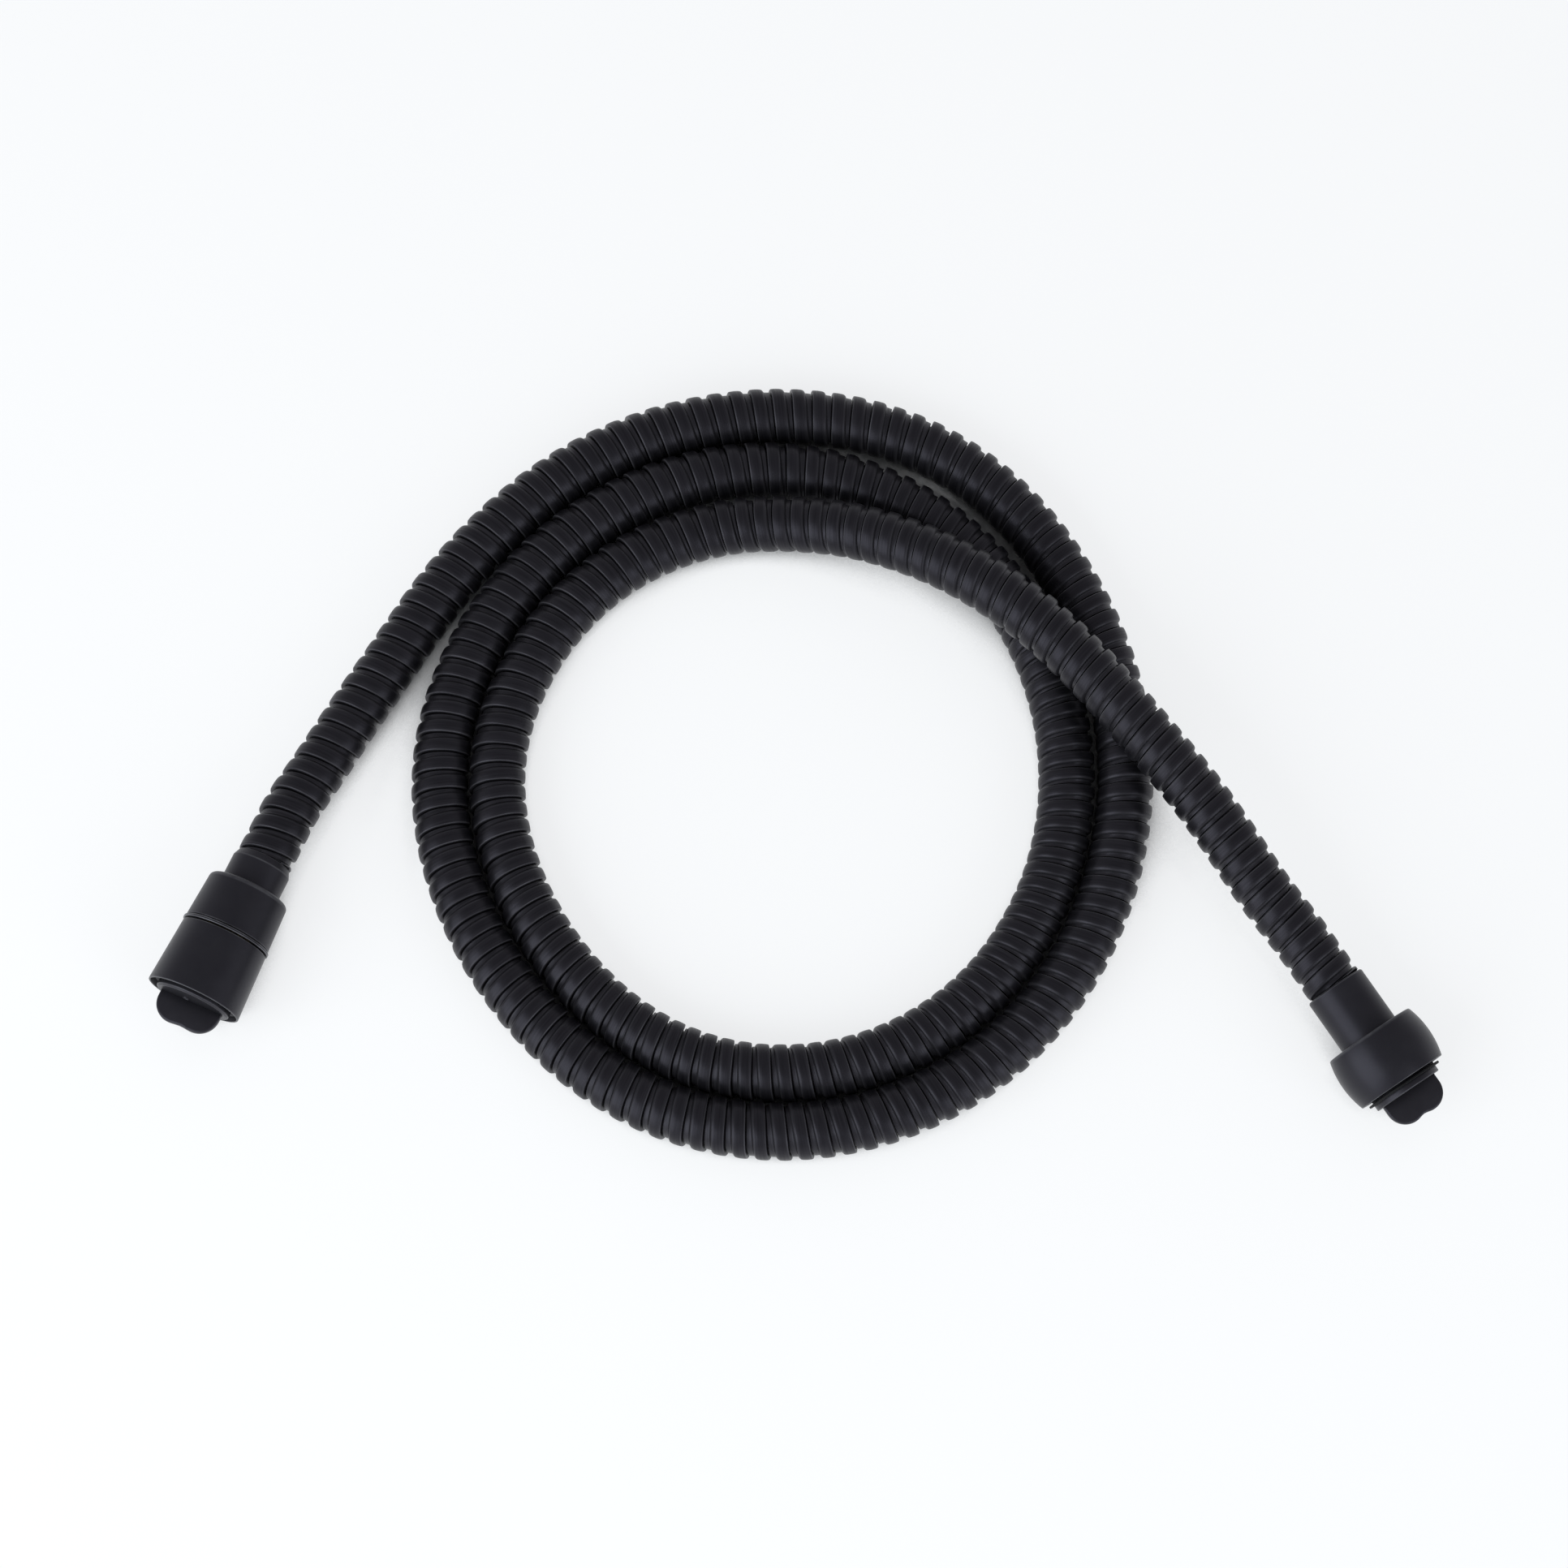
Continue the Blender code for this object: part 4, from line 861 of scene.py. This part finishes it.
def make_barrel_end(place, looks):
    coat, plastic, brass, rubber, nylon, tight = (
        looks[k] for k in ("coat", "plastic", "brass", "rubber", "nylon", "nut")
    )
    ferrule = [(8.0, 17.1, 0.2), (8.0, 0.35, 0.2), (7.7, 0.0, 0.15), (7.15, 0.0, 0.1), (7.2, 1.0, 0.0)]
    ferrule += [(7.2, 16.0, 0.0), (4.9, 16.0, 0.0), (4.9, 17.1, 0.0)]
    shell = lathe("barrel_ferrule_shell", place, ferrule, coat)
    pieces = [finish_piece(shell, "hose", "black_fitting", "barrel_end_ferrule")]
    nut = lathe("barrel_nut_shell", place, barrel_corners(), tight)
    pieces.append(finish_piece(nut, "barrel_nut", "black_fitting", "barrel_nut"))
    ridge = thread("barrel_nut_thread", place, 21.9, 27.9, THREAD_R, 9.34, coat)
    pieces.append(finish_piece(ridge, "barrel_nut", "black_fitting"))
    nipple = [(2.26, -0.5, 0.2), (3.2, -0.5, 0.2), (3.2, 15.7, 0.0), (4.6, 15.7, 0.0), (4.6, 17.4, 0.0)]
    nipple += [(9.6, 17.4, 0.2), (9.6, 19.0, 0.2), (2.26, 19.0, 0.3)]
    turned = lathe("barrel_nipple_turned", place, nipple, brass, steps=INNER_STEPS)
    pieces.append(finish_piece(turned, "hose", "brass", "barrel_end_nipple"))
    make_washer("barrel_washer", place, 19.3, rubber, "hose", "barrel_nut_washer")
    glide = [(8.3, 15.2, 0.1), (8.7, 15.2, 0.1), (8.7, 16.4, 0.0), (10.18, 16.4, 0.15), (10.18, 17.1, 0.15)]
    glide += [(8.3, 17.1, 0.1)]
    bush = lathe("glide_bush", place, glide, nylon, steps=INNER_STEPS)
    pieces.append(finish_piece(bush, "barrel_glide", "white_acetal", "glide_ring"))
    cup = [(0.0, 31.9, 0.0), (9.2, 31.9, 0.25), (9.2, 29.2, 0.0), (8.75, 28.6, 0.0), (8.75, 21.6, 0.3)]
    cup += [(7.5, 21.6, 0.3), (7.5, 30.8, 0.4), (0.0, 30.8, 0.0)]
    plug = lathe("barrel_plug_cup", place, cup, plastic)
    pieces.append(finish_piece(plug, "barrel_plug", "black_plastic", "barrel_end_plug"))
    screw = thread("barrel_plug_thread", place, 22.6, 28.4, 8.75, 9.26, plastic)
    pieces.append(finish_piece(screw, "barrel_plug", "black_plastic"))
    # The seal is near black, darker than the other rubber: its colour also paints the shade in the gap at the nut's
    # face
    seal_and_gap_shade = [(9.1, 29.75, 0.0), (10.45, 29.75, 0.15), (10.45, 30.35, 0.15), (9.1, 30.35, 0.0)]
    pieces.append(finish_piece(lathe("barrel_plug_seal", place, seal_and_gap_shade, looks["seal_and_gap_shade"]), "barrel_plug", "black_rubber"))
    lobes = {"base": 31.5, "reach": 39.25, "size": 5.1, "apart": 2.8, "notch": 0.45, "thick": 2.0}
    tab = pull_tab("barrel_plug_tab", place, **lobes, look=plastic)
    pieces.append(finish_piece(tab, "barrel_plug", "black_plastic"))
    return pieces


# ---------------------------------------------------------------- assembly


def dress_hidden(looks):
    """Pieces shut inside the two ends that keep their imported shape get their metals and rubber."""
    hidden = {
        "cone_end_crimp_sleeve": "brass",
        "barrel_end_crimp_sleeve": "brass",
        "cone_end_nipple": "brass",
        "rear_o_ring": "rubber",
        "front_o_ring": "rubber",
        "snap_ring": "steel",
    }
    for node, look in hidden.items():
        for material_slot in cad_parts[node].material_slots:
            material_slot.material = looks[look]


def main():
    add_camera()
    route = Route(route_knots())
    looks = {
        "casing": casing_look(),
        "coat": coated_look("coat_look", (0.0088, 0.0087, 0.0108), (0.0124, 0.0122, 0.0145), 0.4, 3800.0, COAT_EDGE_WEAR_AND_HIGHLIGHT),
        "nut": coated_look("nut_look", (0.009, 0.0088, 0.0112), (0.0125, 0.0125, 0.0148), 0.36, 3800.0, NUT_EDGE_WEAR_AND_HIGHLIGHT),
        "plastic": coated_look(
            "plug_look", (0.0065, 0.0064, 0.0078), (0.0115, 0.0113, 0.0132), 0.4, 2400.0, PLASTIC_EDGE_WEAR_AND_HIGHLIGHT, 0.02, 0.38
        ),
        "ring": coated_look(
            "ring_and_edge_highlight_look", (0.008, 0.0078, 0.0095), (0.012, 0.0118, 0.0138), 0.3, 2400.0, RING_EDGE_HIGHLIGHT, 0.02
        ),
        # Near black: the seal's own black and painted shade of the gap at the barrel nut's face
        "seal_and_gap_shade": plain_look("seal_and_gap_shade_look", (0.002, 0.002, 0.0025), (0.004, 0.004, 0.005), 0.6, 320.0, 0.2),
        "brass": metal_look("brass_look", (0.58, 0.4, 0.17), (0.78, 0.58, 0.28), 0.3),
        "steel": metal_look("steel_look", (0.5, 0.5, 0.51), (0.66, 0.66, 0.67), 0.3),
        "rubber": plain_look("rubber_look", (0.014, 0.014, 0.015), (0.028, 0.028, 0.029), 0.72, 320.0, 0.3),
        "nylon": plain_look("nylon_look", (0.72, 0.72, 0.68), (0.82, 0.82, 0.79), 0.42, 260.0),
        "liner": plain_look("liner_look", (0.26, 0.27, 0.28), (0.38, 0.39, 0.4), 0.4, 200.0),
    }
    casing = finish_piece(make_casing(route, looks["casing"]), "hose", "black_casing", "spiral_casing")
    ends = (-LINER_BEYOND[0], route.length + LINER_BEYOND[1])
    liner = make_tube("liner", route, LINER_OUTER, LINER_INNER, *ends, looks["liner"])
    finish_piece(liner, "hose", "grey_liner", "inner_tube")
    cone_place = end_place(CONE_MOUTH, CONE_HEADING, CONE_TILT)
    barrel_place = end_place(BARREL_MOUTH, BARREL_HEADING, BARREL_TILT)
    make_cone_end(cone_place, looks)
    on_hose = make_barrel_end(barrel_place, looks)
    dress_hidden(looks)
    add_world()
    for box in SOFTBOXES:
        add_softbox(*box)
    add_floor()
    bpy.context.scene.view_settings.view_transform = "Standard"


main()
